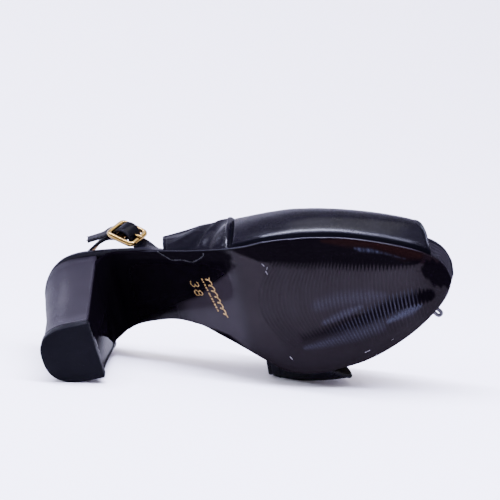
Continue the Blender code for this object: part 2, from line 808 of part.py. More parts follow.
# Wire loop on the platform's side beside the toe.
TRIM_X = 209.4
TRIM_Z = 14.5
TRIM_R = 1.3
TRIM_WIRE = 0.45
TRIM_LEG = 2.8
TRIM_STEPS = 8


def build_toe_trim():
    side = platform_side(TRIM_X, TRIM_Z)
    outward = unit(np.array((0.62, 0.78, 0.0)))
    beside = np.array((-outward[1], outward[0], 0.0))
    foot = np.array((TRIM_X, side, TRIM_Z)) + outward * (TRIM_WIRE + 2 * GAP)
    line = [foot + beside * TRIM_R]
    for k in range(TRIM_STEPS + 1):
        turn = pi * k / TRIM_STEPS
        line.append(foot + outward * (TRIM_LEG + TRIM_R * sin(turn)) + beside * TRIM_R * cos(turn))
    line.append(foot - beside * TRIM_R)
    tube("toe_trim", line, TRIM_WIRE, False)


def platform_side(x, z):
    """Medial face of the platform at one height."""
    share = max(0.0, (x - PLATFORM_SHIFT_X) / (PLATFORM_TIP_X - PLATFORM_SHIFT_X))
    low = platform_half(x, "medial")
    high = bed_half(x, "medial") - PLATFORM_RIM
    under = sole_top(x) + GAP
    over = bed_line(x + PLATFORM_TIP_SHIFT * share) - GAP
    return low + (high - low) * (z - under) / (over - under)


for build in (build_top_lift, build_heel, build_outsole, build_platform, build_footbed, build_upper,
              build_straps, build_buckle, build_toe_trim):
    build()

# The shoe lies on three places: the lift's edge, the footbed's rim at the heel, and the vamp.
RESTS = ("top_lift", "footbed", "upper")
UP = np.array((0.2, -1.0, 0.13))


def rest_normal(up):
    """Floor normal through the lowest point of each resting piece, found in a few rounds."""
    for _ in range(12):
        up = unit(up)
        low = [pieces[name][0][np.argmin(pieces[name][0] @ up)] for name in RESTS]
        normal = np.cross(low[1] - low[0], low[2] - low[0])
        up = normal if normal @ up > 0 else -normal
    return unit(up)


UP = rest_normal(UP)
FORWARD = unit(np.array((1.0, 0.0, 0.0)) - UP * UP[0])
LAY = np.array((FORWARD, np.cross(UP, FORWARD), UP))
HELPERS = ("buckle_bar", "prong_hole", "seat_cut")
BODY = np.vstack([points for name, (points, faces) in pieces.items() if name not in HELPERS]) @ LAY.T
LOW = BODY.min(axis=0)
HIGH = BODY.max(axis=0)
ORIGIN = np.array(((LOW[0] + HIGH[0]) / 2, (LOW[1] + HIGH[1]) / 2, LOW[2]))

# Colour, roughness and metal share of each piece's material.
Finish = namedtuple("Finish", "slot colour rough metal")
PATENT = Finish("patent_sole", (0.012, 0.011, 0.013), 0.12, 0.0)
LEATHER = Finish("black_leather", (0.02, 0.02, 0.022), 0.38, 0.0)
RUBBER = Finish("lift_rubber", (0.02, 0.02, 0.021), 0.75, 0.0)
GILT = Finish("gilt_metal", (0.83, 0.62, 0.25), 0.22, 1.0)
NICKEL = Finish("nickel_metal", (0.72, 0.71, 0.69), 0.25, 1.0)
FINISHES = {
    "top_lift": RUBBER,
    "heel_block": LEATHER,
    "outsole": PATENT,
    "platform": LEATHER,
    "footbed": LEATHER,
    "upper": LEATHER,
    "sling_front": LEATHER,
    "sling_back": LEATHER,
    "buckle_frame": GILT,
    "buckle_bar": GILT,
    "buckle_prong": GILT,
    "prong_hole": GILT,
    "seat_cut": LEATHER,
    "toe_trim": NICKEL,
}


def material(finish):
    made = bpy.data.materials.get(finish.slot)
    if made:
        return made
    made = bpy.data.materials.new(finish.slot)
    made.use_nodes = True
    shader = made.node_tree.nodes["Principled BSDF"]
    shader.inputs["Base Color"].default_value = (*finish.colour, 1.0)
    shader.inputs["Roughness"].default_value = finish.rough
    shader.inputs["Metallic"].default_value = finish.metal
    return made


made = {}
for name, (points, faces) in pieces.items():
    mesh = bpy.data.meshes.new(name)
    mesh.from_pydata([tuple(p) for p in (points @ LAY.T - ORIGIN) * MM], [], faces)
    mesh.materials.append(material(FINISHES[name]))
    made[name] = bpy.data.objects.new(name, mesh)
    bpy.context.scene.collection.objects.link(made[name])


def combine(target, tool, operation):
    change = made[target].modifiers.new(tool, "BOOLEAN")
    change.operation = operation
    change.solver = "EXACT"
    change.object = made[tool]
    made[tool].hide_render = True
    made[tool].display_type = "WIRE"


combine("buckle_frame", "buckle_bar", "UNION")
combine("sling_front", "prong_hole", "DIFFERENCE")
combine("sling_back", "seat_cut", "DIFFERENCE")
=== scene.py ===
import json
from collections import namedtuple
from math import cos, pi, radians, sin

import bmesh
import bpy
import numpy as np
from mathutils import Matrix


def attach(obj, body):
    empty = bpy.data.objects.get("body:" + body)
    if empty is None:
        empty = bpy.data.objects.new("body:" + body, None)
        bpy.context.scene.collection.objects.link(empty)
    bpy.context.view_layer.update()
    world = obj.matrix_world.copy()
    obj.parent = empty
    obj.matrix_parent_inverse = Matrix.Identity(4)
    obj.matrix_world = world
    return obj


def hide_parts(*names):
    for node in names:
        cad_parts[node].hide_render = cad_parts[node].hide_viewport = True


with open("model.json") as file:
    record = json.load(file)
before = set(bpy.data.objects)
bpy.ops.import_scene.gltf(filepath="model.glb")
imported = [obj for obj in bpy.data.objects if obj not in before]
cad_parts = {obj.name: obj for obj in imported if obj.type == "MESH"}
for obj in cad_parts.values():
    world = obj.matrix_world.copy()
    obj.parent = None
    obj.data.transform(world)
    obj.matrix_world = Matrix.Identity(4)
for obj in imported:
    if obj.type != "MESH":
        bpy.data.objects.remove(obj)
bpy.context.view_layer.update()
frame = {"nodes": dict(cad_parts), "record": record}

# The shoe was made in its own upright frame, in millimetres: x from the heel to the toe, y to
# the inner side, z up from its ground. It lies on its inner side, so every point is laid over.
FLOOR_UP = np.array((0.22994844, -0.96225375, 0.1455728))
HEEL_TREAD_MIDDLE = np.array((17.0, 0.0, 0.0))
MM = 0.001


def unit(vector):
    vector = np.asarray(vector, float)
    return vector / np.linalg.norm(vector, axis=-1, keepdims=True)


FORWARD = unit(np.array((1.0, 0.0, 0.0)) - FLOOR_UP * FLOOR_UP[0])
LIE = np.array((FORWARD, np.cross(FLOOR_UP, FORWARD), FLOOR_UP))
heel_tread = next(m for m in frame["record"]["mounts"] if m["name"] == "heel_tread")
LIE_SHIFT = np.array(heel_tread["pos_m"]) - LIE @ HEEL_TREAD_MIDDLE * MM


def lay(points):
    """Points of the upright shoe, in millimetres, as it lies on the floor, in metres."""
    return np.asarray(points, float) @ LIE.T * MM + LIE_SHIFT


# Outsole: one thin sheet of black resin, polished like glass. It runs from the toe through the
# arch, turns down the breast of the heel, and has fine moulded ribs under the ball of the foot.
Outline = namedtuple("Outline", "x lateral medial")
SOLE = [
    Outline(42.0, 29.8, 17.2),
    Outline(48.0, 30.0, 14.2),
    Outline(58.0, 30.6, 11.4),
    Outline(72.0, 31.6, 9.2),
    Outline(85.0, 32.3, 11.2),
    Outline(94.0, 33.2, 15.7),
    Outline(104.0, 34.2, 21.4),
    Outline(115.0, 35.6, 28.5),
    Outline(127.0, 38.0, 35.6),
    Outline(136.0, 38.5, 37.4),
    Outline(146.0, 38.0, 37.7),
    Outline(155.0, 36.5, 37.2),
    Outline(165.0, 34.4, 36.2),
    Outline(175.0, 31.4, 33.8),
    Outline(185.0, 27.6, 30.3),
    Outline(195.0, 23.2, 25.9),
    Outline(203.0, 19.0, 21.4),
    Outline(210.0, 14.4, 16.6),
    Outline(215.0, 9.8, 12.2),
    Outline(218.0, 5.4, 8.2),
    Outline(219.7, 0.4, 4.2),
]
Heel = namedtuple("Heel", "z back lateral medial skew")
HEEL = [
    Heel(6.7, 2.6, 15.0, 15.5, 0.09),
    Heel(14.0, 3.0, 15.4, 15.8, 0.09),
    Heel(24.0, 2.9, 16.8, 17.0, 0.08),
    Heel(36.0, 2.5, 19.0, 19.0, 0.06),
    Heel(48.0, 1.2, 21.6, 21.4, 0.04),
    Heel(58.0, 0.0, 24.0, 23.4, 0.02),
    Heel(66.0, -0.8, 26.1, 25.0, 0.01),
    Heel(72.0, -1.3, 27.8, 26.2, 0.0),
    Heel(75.0, -1.6, 28.5, 26.8, 0.0),
]
TOE_X = 219.7
TOE_SPRING = 6.8
TREAD_FRONT_X = 170.0
TREAD_BACK_X = 149.6
TREAD_FLAT = 0.35
BREAST_X = 32.4
BREAST_Z = 74.3
BREAST_SLOPE = 0.40
FLAP_LEAN = 1.8
FLAP_MARGIN = 0.9
FLAP_FOOT_Z = 6.7
FILLET_R = 7.0
SHANK_T = 3.0
SOLE_T = 3.8
SHANK_CROWN = 1.5
SOLE_CROWN = 2.0
SHANK_START_X = 88.0
SHANK_END_X = 118.0
SOLE_FULL_X = 138.0
SOLE_EDGE_R = 0.9
SOLE_LIP_R = 0.3
UNDER_STEPS = 101
EDGE_TURNS = np.radians((18.0, 36.0, 54.0, 72.0, 90.0))
FACE_STEPS = UNDER_STEPS + 2 * len(EDGE_TURNS)
FINE_STEP = 0.25
PLAIN_STEP = 1.2
TURN_CLEAR = 0.4
FILLET_STEPS = 24
FLAP_STEPS = 48
FLAP_CROWN = 0.2
SHARP_TURN = radians(38.0)


def smooth(x, start, end):
    """Eased step from 0 at the start to 1 at the end."""
    t = np.clip((x - start) / (end - start), 0.0, 1.0)
    return t * t * (3 - 2 * t)


def between(pair, share):
    """What lies a share of the way from the first of a pair to the second."""
    return pair[0] + (pair[1] - pair[0]) * share


def curve(rows, name):
    """Smooth line through one column of a table, against its first column, with no overshoot."""
    xs = np.array([row[0] for row in rows])
    ys = np.array([getattr(row, name) for row in rows])
    run = np.diff(xs)
    rise = np.diff(ys) / run
    slope = np.concatenate((rise[:1], np.zeros(len(xs) - 2), rise[-1:]))
    for i in range(1, len(xs) - 1):
        if rise[i - 1] * rise[i] > 0:
            near = run[i - 1] + 2 * run[i]
            far = 2 * run[i - 1] + run[i]
            slope[i] = (near + far) / (near / rise[i - 1] + far / rise[i])

    def value(x):
        x = np.clip(x, xs[0], xs[-1])
        i = np.clip(np.searchsorted(xs, x, side="right") - 1, 0, len(run) - 1)
        t = (x - xs[i]) / run[i]
        rest = 1 - t
        ends = ys[i] * rest * rest * (1 + 2 * t) + ys[i + 1] * t * t * (1 + 2 * rest)
        return ends + run[i] * t * rest * (slope[i] * rest - slope[i + 1] * t)

    return value


sole_lateral = curve(SOLE, "lateral")
sole_medial = curve(SOLE, "medial")
heel_side = {name: curve(HEEL, name) for name in Heel._fields[1:]}


def sole_line(x):
    """Height of the sole's underside along the middle of the shoe."""
    spring = TOE_SPRING * (np.maximum(x - TREAD_FRONT_X, 0.0) / (TOE_X - TREAD_FRONT_X)) ** 2
    length = TREAD_BACK_X - BREAST_X
    t = np.maximum(TREAD_BACK_X - x, 0.0) / length
    return spring + (3 * t * t - 2 * t ** 3) * BREAST_Z + (t ** 3 - t * t) * BREAST_SLOPE * length


def stretch(x):
    """Upright length through a layer that follows the sole, per unit of its thickness."""
    step = 0.5
    return np.hypot(1.0, (sole_line(x + step) - sole_line(x - step)) / (2 * step))


def sole_thick(x):
    return between((SHANK_T, SOLE_T), smooth(x, SHANK_START_X, SOLE_FULL_X))


def sole_crown(x):
    return between((SHANK_CROWN, SOLE_CROWN), smooth(x, SHANK_START_X, SHANK_END_X))


def sole_top(x):
    return sole_line(x) + sole_thick(x) * stretch(x)


def sole_ring(x, z, up, lateral, medial, thick, crown, skew=0.0):
    """Section of the sole: crowned underside, rounded edge, flat top."""
    half = (medial + lateral) / 2
    middle = (medial - lateral) / 2
    inner = np.linspace(-1.0, 1.0, UNDER_STEPS) * (half - SOLE_EDGE_R)
    rounded = half - SOLE_EDGE_R + SOLE_EDGE_R * np.sin(EDGE_TURNS)
    across = np.concatenate((-rounded[::-1], inner, rounded))
    curl = SOLE_EDGE_R * (1 - np.cos(EDGE_TURNS))
    lift = np.concatenate((curl[::-1], np.zeros(UNDER_STEPS), curl))
    reach = np.maximum(0.0, (np.abs(across) / half - TREAD_FLAT) / (1 - TREAD_FLAT))
    lift = lift + crown * reach ** 2
    lip = half - SOLE_LIP_R
    across = np.concatenate((across, (half, lip, lip * 0.5, 0.0, -lip * 0.5, -lip, -half)))
    side = thick - SOLE_LIP_R
    lift = np.concatenate((lift, (side, thick, thick, thick, thick, thick, side)))
    y = middle + across
    return np.stack((x + up[0] * lift + skew * y, y, z + up[1] * lift), axis=1)


fillet_x = BREAST_X + FILLET_R * (1 + BREAST_SLOPE / np.hypot(1.0, BREAST_SLOPE))
fillet_turn = np.arctan(BREAST_SLOPE)
fillet_centre = (BREAST_X + FILLET_R, sole_line(fillet_x) - FILLET_R * cos(fillet_turn))
sole_rings = []
fine = np.arange(TOE_X, SHANK_END_X, -FINE_STEP)
plain = np.linspace(SHANK_END_X, fillet_x + TURN_CLEAR, int((SHANK_END_X - fillet_x) / PLAIN_STEP))
for x in np.concatenate((fine, plain)):
    sole_rings.append(sole_ring(x, sole_line(x), (0.0, 1.0), sole_lateral(x), sole_medial(x),
                                sole_thick(x) * stretch(x), sole_crown(x)))
for share in np.linspace(0.0, 1.0, FILLET_STEPS):
    angle = pi / 2 - fillet_turn + (pi / 2 + fillet_turn) * share
    up = (cos(angle), sin(angle))
    z = fillet_centre[1] + FILLET_R * up[1]
    widen = smooth(share, 0.0, 1.0)
    lateral = between((sole_lateral(fillet_x), heel_side["lateral"](z) - FLAP_MARGIN), widen)
    medial = between((sole_medial(fillet_x), heel_side["medial"](z) - FLAP_MARGIN), widen)
    crown = SHANK_CROWN * between((1.0, FLAP_CROWN), share)
    sole_rings.append(sole_ring(fillet_centre[0] + FILLET_R * up[0], z, up, lateral, medial,
                                SHANK_T, crown, heel_side["skew"](z) * share))
for share in np.linspace(0.0, 1.0, FLAP_STEPS)[1:]:
    z = between((fillet_centre[1], FLAP_FOOT_Z), share)
    sole_rings.append(sole_ring(BREAST_X - FLAP_LEAN * share, z, (-1.0, 0.0),
                                heel_side["lateral"](z) - FLAP_MARGIN,
                                heel_side["medial"](z) - FLAP_MARGIN,
                                SHANK_T, SHANK_CROWN * FLAP_CROWN, heel_side["skew"](z)))


def tube_faces(rows, count):
    """Faces of a skin through rings of equal count, with both ends closed."""
    faces = [tuple(range(count)), tuple(range(rows * count - 1, (rows - 1) * count - 1, -1))]
    for r in range(rows - 1):
        for i in range(count):
            j = (i + 1) % count
            faces.append((r * count + i, (r + 1) * count + i, (r + 1) * count + j, r * count + j))
    return faces


def make_mesh(name, points, faces, materials):
    """A smooth mesh of the laid-over points, its faces turned outwards."""
    mesh = bpy.data.meshes.new(name)
    mesh.from_pydata(lay(points).tolist(), [], faces)
    for material in materials:
        mesh.materials.append(material)
    form = bmesh.new()
    form.from_mesh(mesh)
    if form.calc_volume(signed=True) < 0:
        bmesh.ops.reverse_faces(form, faces=form.faces)
    form.to_mesh(mesh)
    form.free()
    mesh.polygons.foreach_set("use_smooth", [True] * len(mesh.polygons))
    mesh.set_sharp_from_angle(angle=SHARP_TURN)
    return mesh


def ring_mesh(name, rings, materials):
    """A closed skin through a stack of rings of equal count."""
    rings = np.asarray(rings)
    return make_mesh(name, rings.reshape(-1, 3), tube_faces(*rings.shape[:2]), materials)


def note(mesh, label, values):
    """Keeps one number for each point of a mesh, for its finish or its node tree to read."""
    store = mesh.attributes.new(label, "FLOAT", "POINT")
    store.data.foreach_set("value", np.asarray(values).reshape(-1).astype(np.float32))


def bring_in(name, data):
    made = bpy.data.objects.new(name, data)
    bpy.context.scene.collection.objects.link(made)
    return made


def place(name, mesh, slot, *nodes):
    """Puts a finished mesh on the shoe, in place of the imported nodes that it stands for."""
    made = bring_in(name, mesh)
    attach(made, "root")
    if nodes:
        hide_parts(*nodes)


def add_group(name, inputs, outputs):
    """An empty shader group with named sockets, and its two end nodes."""
    group = bpy.data.node_groups.new(name, "ShaderNodeTree")
    for label, kind, value in inputs:
        socket = group.interface.new_socket(label, in_out="INPUT", socket_type=kind)
        if value is not None:
            socket.default_value = value
    for label, kind in outputs:
        group.interface.new_socket(label, in_out="OUTPUT", socket_type=kind)
    return group, group.nodes.new("NodeGroupInput"), group.nodes.new("NodeGroupOutput")


def feed(tree, socket, value):
    """Links a socket to another node's output, or sets it to a fixed value."""
    if isinstance(value, bpy.types.NodeSocket):
        tree.links.new(value, socket)
    else:
        socket.default_value = value


def add_node(tree, kind, **inputs):
    """A node of a kind, with its named inputs fed."""
    node = tree.nodes.new(kind)
    for label, value in inputs.items():
        feed(tree, node.inputs[label.replace("_", " ").title()], value)
    return node


def math_node(tree, operation, *values):
    node = tree.nodes.new("ShaderNodeMath")
    node.operation = operation
    for socket, value in zip(node.inputs, values):
        feed(tree, socket, value)
    return node.outputs[0]


def vector_node(tree, operation, first, second):
    node = tree.nodes.new("ShaderNodeVectorMath")
    node.operation = operation
    feed(tree, node.inputs[0], first)
    feed(tree, node.inputs["Scale" if operation == "SCALE" else 1], second)
    return node.outputs["Value" if operation in ("DOT_PRODUCT", "DISTANCE") else "Vector"]


def noise(tree, spot, **sizes):
    return add_node(tree, "ShaderNodeTexNoise", vector=spot, **sizes).outputs["Fac"]


SCRAPE_GRIT = 3600.0
SCRAPE_RAGGED = (3.2, -0.9)
SCRAPE_CORE = 0.4
LEAST_WIDTH = 0.00001


def scuff_group():
    """Mask of one short scrape between two points, broken up along its length."""
    group, start, end = add_group(
        "scrape",
        [("Place", "NodeSocketVector", None), ("From", "NodeSocketVector", None),
         ("To", "NodeSocketVector", None), ("Width", "NodeSocketFloat", 0.0004)],
        [("Mask", "NodeSocketFloat")])
    line = vector_node(group, "SUBTRACT", start.outputs["To"], start.outputs["From"])
    rel = vector_node(group, "SUBTRACT", start.outputs["Place"], start.outputs["From"])
    along = math_node(group, "DIVIDE", vector_node(group, "DOT_PRODUCT", rel, line),
                      vector_node(group, "DOT_PRODUCT", line, line))
    held = add_node(group, "ShaderNodeClamp", value=along)
    off = vector_node(group, "DISTANCE", rel, vector_node(group, "SCALE", line, held.outputs[0]))
    grit = noise(group, start.outputs["Place"], scale=SCRAPE_GRIT, detail=3.0)
    ragged = math_node(group, "MULTIPLY", start.outputs["Width"],
                       math_node(group, "MULTIPLY_ADD", grit, *SCRAPE_RAGGED))
    core = math_node(group, "MULTIPLY", ragged, SCRAPE_CORE)
    reach = math_node(group, "MAXIMUM", ragged, LEAST_WIDTH)
    group.links.new(ramp(group, off, (core, reach), (1.0, 0.0)), end.inputs["Mask"])
    return group


def new_material(name, colour, rough, specular=0.5, blur=0.03, metal=0.0):
    """A node material with its shader, the numbers that are the same all over, and Object coordinates."""
    made = bpy.data.materials.new(name)
    made.use_nodes = True
    tree = made.node_tree
    shader = tree.nodes["Principled BSDF"]
    for label, value in (("Base Color", (*colour, 1.0)), ("Roughness", rough), ("Metallic", metal),
                         ("Specular IOR Level", specular), ("Coat Roughness", blur)):
        shader.inputs[label].default_value = value
    return made, tree, shader, tree.nodes.new("ShaderNodeTexCoord").outputs["Object"]


def ramp(tree, value, span, result=(0.0, 1.0)):
    """A value carried from one span to another and held at its ends."""
    return add_node(tree, "ShaderNodeMapRange", value=value, from_min=span[0], from_max=span[1],
                    to_min=result[0], to_max=result[1]).outputs["Result"]


def mix_colour(tree, factor, first, second):
    node = add_node(tree, "ShaderNodeMix", factor=factor)
    node.data_type = "RGBA"
    for socket, value in ((node.inputs[6], first), (node.inputs[7], second)):
        feed(tree, socket, (*value, 1.0) if isinstance(value, tuple) else value)
    return node.outputs[2]


def colour_by(tree, shader, factor, first, second):
    tree.links.new(mix_colour(tree, factor, first, second), shader.inputs["Base Color"])


def bump(tree, shader, height, strength, distance):
    node = add_node(tree, "ShaderNodeBump", strength=strength, distance=distance, height=height)
    tree.links.new(node.outputs["Normal"], shader.inputs["Normal"])
    return node.outputs["Normal"]


def read_attribute(tree, label):
    node = tree.nodes.new("ShaderNodeAttribute")
    node.attribute_name = label
    return node.outputs["Fac"]


def sole_face(x, y):
    """Height of the sole's crowned underside at a place under the shoe."""
    half = (sole_medial(x) + sole_lateral(x)) / 2
    middle = (sole_medial(x) - sole_lateral(x)) / 2
    reach = np.maximum(0.0, (np.abs(y - middle) / half - TREAD_FLAT) / (1 - TREAD_FLAT))
    return sole_line(x) + sole_crown(x) * reach ** 2


SOLE_BLACK = (0.0013, 0.0009, 0.0016)
SOLE_REFLECTION_TINT = (0.0043, 0.0021, 0.0032)
SOLE_WARM_REFLECTION = (0.0052, 0.0021, 0.0020)
SOLE_PALE_REFLECTION = (0.0122, 0.0098, 0.0122)
SOLE_HIGHLIGHT_TINT = (0.0205, 0.0218, 0.0345)
SOLE_GLOSS = 0.155
SOLE_BLUR = 0.045
SCRAPE_GREY = (0.15, 0.145, 0.16)
SCRAPE_DULL = 0.9
Scrape = namedtuple("Scrape", "start end width")
SCRAPES = [
    Scrape((123.8, -26.5), (124.6, -25.3), 0.30),
    Scrape((125.0, -22.4), (125.5, -20.8), 0.42),
    Scrape((126.2, -24.6), (125.7, -23.4), 0.24),
    Scrape((129.2, 26.4), (130.0, 27.8), 0.44),
    Scrape((168.4, 30.3), (170.9, 29.5), 0.26),
    Scrape((183.2, 26.5), (184.2, 26.1), 0.18),
]
FLAP_CHIPS = [
    Scrape((30.5, -2.6, 9.2), (30.8, 1.2, 9.3), 0.62),
    Scrape((31.0, 3.2, 9.3), (31.1, 4.2, 9.4), 0.40),
]


def all_scrapes():
    """Scrapes on the sole's face, lifted on to it, and the chips at the foot of the flap."""
    lifted = []
    for row in SCRAPES:
        start, end = ((*spot, sole_face(*spot)) for spot in (row.start, row.end))
        lifted.append(Scrape(start, end, row.width))
    return lifted + FLAP_CHIPS


def polished_resin():
    """Black resin: painted reflection tints and painted highlights in its colour, scrapes, a glassy coat
    whose weight follows a map of painted reflections, and a slow ripple.
    """
    made, tree, shader, spot = new_material("patent_sole", SOLE_BLACK, 0.5, specular=0.0, blur=SOLE_BLUR)
    fine = noise(tree, spot, scale=1500.0, detail=2.0)
    slow = noise(tree, spot, scale=42.0, detail=5.0, roughness=0.62)
    pits = noise(tree, spot, scale=620.0, detail=1.0)
    ripple = noise(tree, spot, scale=60.0, detail=2.0)
    scrape = scuff_group()
    marks = None
    for row in all_scrapes():
        node = tree.nodes.new("ShaderNodeGroup")
        node.node_tree = scrape
        tree.links.new(spot, node.inputs["Place"])
        node.inputs["From"].default_value = lay(row.start).tolist()
        node.inputs["To"].default_value = lay(row.end).tolist()
        node.inputs["Width"].default_value = row.width * MM
        mask = node.outputs["Mask"]
        marks = mask if marks is None else math_node(tree, "MAXIMUM", marks, mask)
    colour = SOLE_BLACK
    # Painted reflections: tints of reflected light mixed into the base colour where their maps lie.
    for label, tint in (("cast", SOLE_REFLECTION_TINT), ("warm", SOLE_WARM_REFLECTION), ("pale_reflection", SOLE_PALE_REFLECTION)):
        colour = mix_colour(tree, read_attribute(tree, label), colour, tint)
    # Painted highlights: a pale blue tint, broken by fine noise, mixed into the colour.
    sparkle = ramp(tree, fine, (0.36, 0.64), (0.70, 1.30))
    highlighted = math_node(tree, "MULTIPLY", read_attribute(tree, "painted_highlight"), sparkle)
    colour = mix_colour(tree, highlighted, colour, SOLE_HIGHLIGHT_TINT)
    colour_by(tree, shader, marks, colour, SCRAPE_GREY)
    gloss = math_node(tree, "MULTIPLY_ADD", marks, -SCRAPE_DULL * SOLE_GLOSS, SOLE_GLOSS)
    # The coat's weight follows the painted light map, which paints dark and bright reflections into the
    # gloss.
    for share in (read_attribute(tree, "painted_light"),
                  ramp(tree, slow, (0.3, 0.7), (0.84, 1.12)),
                  ramp(tree, fine, (0.35, 0.65), (0.90, 1.08)),
                  ramp(tree, pits, (0.66, 0.74), (1.0, 0.55))):
        gloss = math_node(tree, "MULTIPLY", gloss, share)
    tree.links.new(gloss, shader.inputs["Coat Weight"])
    relief = bump(tree, shader, ripple, 0.16, 0.0006)
    tree.links.new(relief, shader.inputs["Coat Normal"])
    return made


# The ribs are moulded with the sole. They bow across the ball of the foot, fade at its sides and
# towards the toe, and are worn along the middle.
Ridge = namedtuple("Ridge", "height middle half")
Fade = namedtuple("Fade", "start end loss")
RIB_PITCH = 2.05
RIB_DEPTH = 0.16
RIB_BOW = (0.020, 0.005)
RIB_BOW_SPAN = (122.0, 190.0)
RIB_AXIS = (-4.0, 4.0)
RIB_AXIS_SPAN = (120.0, 205.0)
BALL_HALF = 27.0
BALL_LEAST = 0.5
BALL_WIDENS = (112.0, 131.0)
BALL_NARROWS = Fade(160.0, 208.0, 0.42)
RIBS_FADE = (0.80, 1.02)
RIBS_START = (112.0, 119.0)
RIBS_END = (200.0, 209.0)
RIBS_WORN = Ridge(0.60, -6.0, 9.0)


def ridge(x, row):
    """A soft ridge of a height over its middle line, or a trough where the height is negative."""
    return row.height * np.exp(-((x - row.middle) / row.half) ** 2)


def dimmed(x, fade):
    """Share that is left as a loss comes in from its start to its end."""
    return 1 - fade.loss * smooth(x, fade.start, fade.end)


sole_points = np.array(sole_rings)
spot_x, spot_y, spot_z = sole_points.reshape(-1, 3).T
rib_axis = between(RIB_AXIS, smooth(spot_x, *RIB_AXIS_SPAN))
rib_way = spot_x - between(RIB_BOW, smooth(spot_x, *RIB_BOW_SPAN)) * (spot_y - rib_axis) ** 2
ball_half = BALL_HALF * smooth(spot_x, *BALL_WIDENS) * dimmed(spot_x, BALL_NARROWS)
aside = np.abs(spot_y - rib_axis) / np.maximum(ball_half, BALL_LEAST)
ribbed = (1 - smooth(aside, *RIBS_FADE)) * smooth(rib_way, *RIBS_START) * (1 - smooth(spot_x, *RIBS_END))
below = np.zeros(sole_points.shape[:2])
below[:, :FACE_STEPS] = 1.0
below = below.reshape(-1)
rib_share = ribbed * (1 - ridge(spot_y, RIBS_WORN)) * below
rib_wave = np.cos(2 * pi * rib_way / RIB_PITCH)
rib_sign = ribbed * rib_wave
rib_crest = 0.5 - 0.5 * rib_sign

# Painted reflections: the gloss is turned down in strokes along the edges, in a streak under the ball and
# on the turned edge above the heel, which paints dark reflections there. The ribs break each border into
# teeth.
Stroke = namedtuple("Stroke", "x y half")
Patch = namedtuple("Patch", "strength soft strokes")
WAIST_SHADE = Patch(0.93, 0.30, [
    Stroke(42.0, -28.5, 7.5),
    Stroke(60.0, -30.5, 7.0),
    Stroke(80.0, -31.5, 6.5),
    Stroke(93.0, -32.5, 6.5),
    Stroke(103.0, -29.0, 6.0),
    Stroke(105.5, -25.0, 4.0),
])
LATERAL_SHADE = Patch(0.93, 0.09, [
    Stroke(106.0, -36.5, 1.5),
    Stroke(124.0, -33.5, 6.0),
    Stroke(142.0, -32.0, 8.0),
    Stroke(158.0, -29.5, 8.4),
    Stroke(173.0, -26.0, 9.2),
    Stroke(188.5, -21.0, 7.4),
    Stroke(202.0, -16.5, 5.0),
])
INNER_SHADE = Patch(0.97, 0.25, [
    Stroke(81.0, 9.2, 0.3),
    Stroke(90.0, 13.2, 1.4),
    Stroke(98.0, 17.0, 2.5),
    Stroke(103.0, 20.4, 1.7),
    Stroke(108.0, 24.0, 0.3),
])
TOE_SHADE = Patch(0.94, 0.16, [
    Stroke(209.0, -7.5, 4.6),
    Stroke(214.0, -2.5, 6.2),
    Stroke(219.0, 1.0, 4.5),
])
BALL_SHADE = Patch(1.0, 0.22, [
    Stroke(137.5, 16.6, 1.6),
    Stroke(152.3, 14.6, 2.8),
    Stroke(168.8, 12.0, 4.0),
    Stroke(178.0, 9.6, 4.8),
    Stroke(186.0, 7.6, 5.0),
    Stroke(196.2, 6.2, 4.2),
    Stroke(206.5, 6.6, 3.4),
])
TOOTH = 2.0
TOE_WOBBLE = (0.8, 1.7)
WAIST_WOBBLE = (0.9, 1.3)
STREAK_MIDDLE = 7.0
STREAK_DARK = (0.88, 0.99)
STREAK_DARKENS = (138.0, 156.0)
CREST_SPAN = (0.45, 0.95)
CREST_ENDS = (196.0, 202.0)
CREST_LIGHT = 0.66
GROOVE_DIM = 0.36
MEDIAL_DIM = Fade(4.0, 32.0, 0.46)
TOE_DIM = Fade(194.0, 212.0, 0.45)
TURN_DIM = 0.97
TURN_BACK = (42.0, 54.0)
TURN_RISE = (30.0, 50.0)
TURN_SIDE = (12.0, 24.0)
BEND_BACK = (44.0, 56.0)
BEND_RISE = (58.0, 66.0)
FLAP_BACK = (34.0, 40.0)
FLAP_SIDE = (-3.0, 13.0)
FLAP_RISE = (4.0, 12.0)
FLAP_EDGE = (1.4, 2.8)
FLAP_EDGE_DIM = 0.92
BRUSH_RATE = 5.2
BRUSH_WANDER = (0.9, 0.35)
BRUSH_BUNCH = 1.7
BRUSH_DIM = 0.16
TOP_SHINE = 0.06
EDGE_SHINE = 0.30
EDGE_COLUMNS = 2
RIM_SHINE = (0.25, 1.90, 1.90, 0.40)
RIM_STARTS = (58.0, 66.0)
RIM_ENDS = (200.0, 209.0)


def stroke_mask(x, y, patch):
    """Soft mask round a line of varying half width on the sole or the upper."""
    mask = np.zeros_like(x)
    for a, b in zip(patch.strokes, patch.strokes[1:]):
        run = np.array((b.x - a.x, b.y - a.y))
        along = np.clip(((x - a.x) * run[0] + (y - a.y) * run[1]) / (run @ run), 0.0, 1.0)
        off = np.hypot(x - a.x - along * run[0], y - a.y - along * run[1])
        half = between((a.half, b.half), along)
        mask = np.maximum(mask, 1 - smooth(off, half * (1 - patch.soft), half * (1 + patch.soft)))
    return mask


def shaded(x, y, patch):
    return 1 - patch.strength * stroke_mask(x, y, patch)


def wobble(x, reach, rate):
    return reach * np.sin(x * rate)


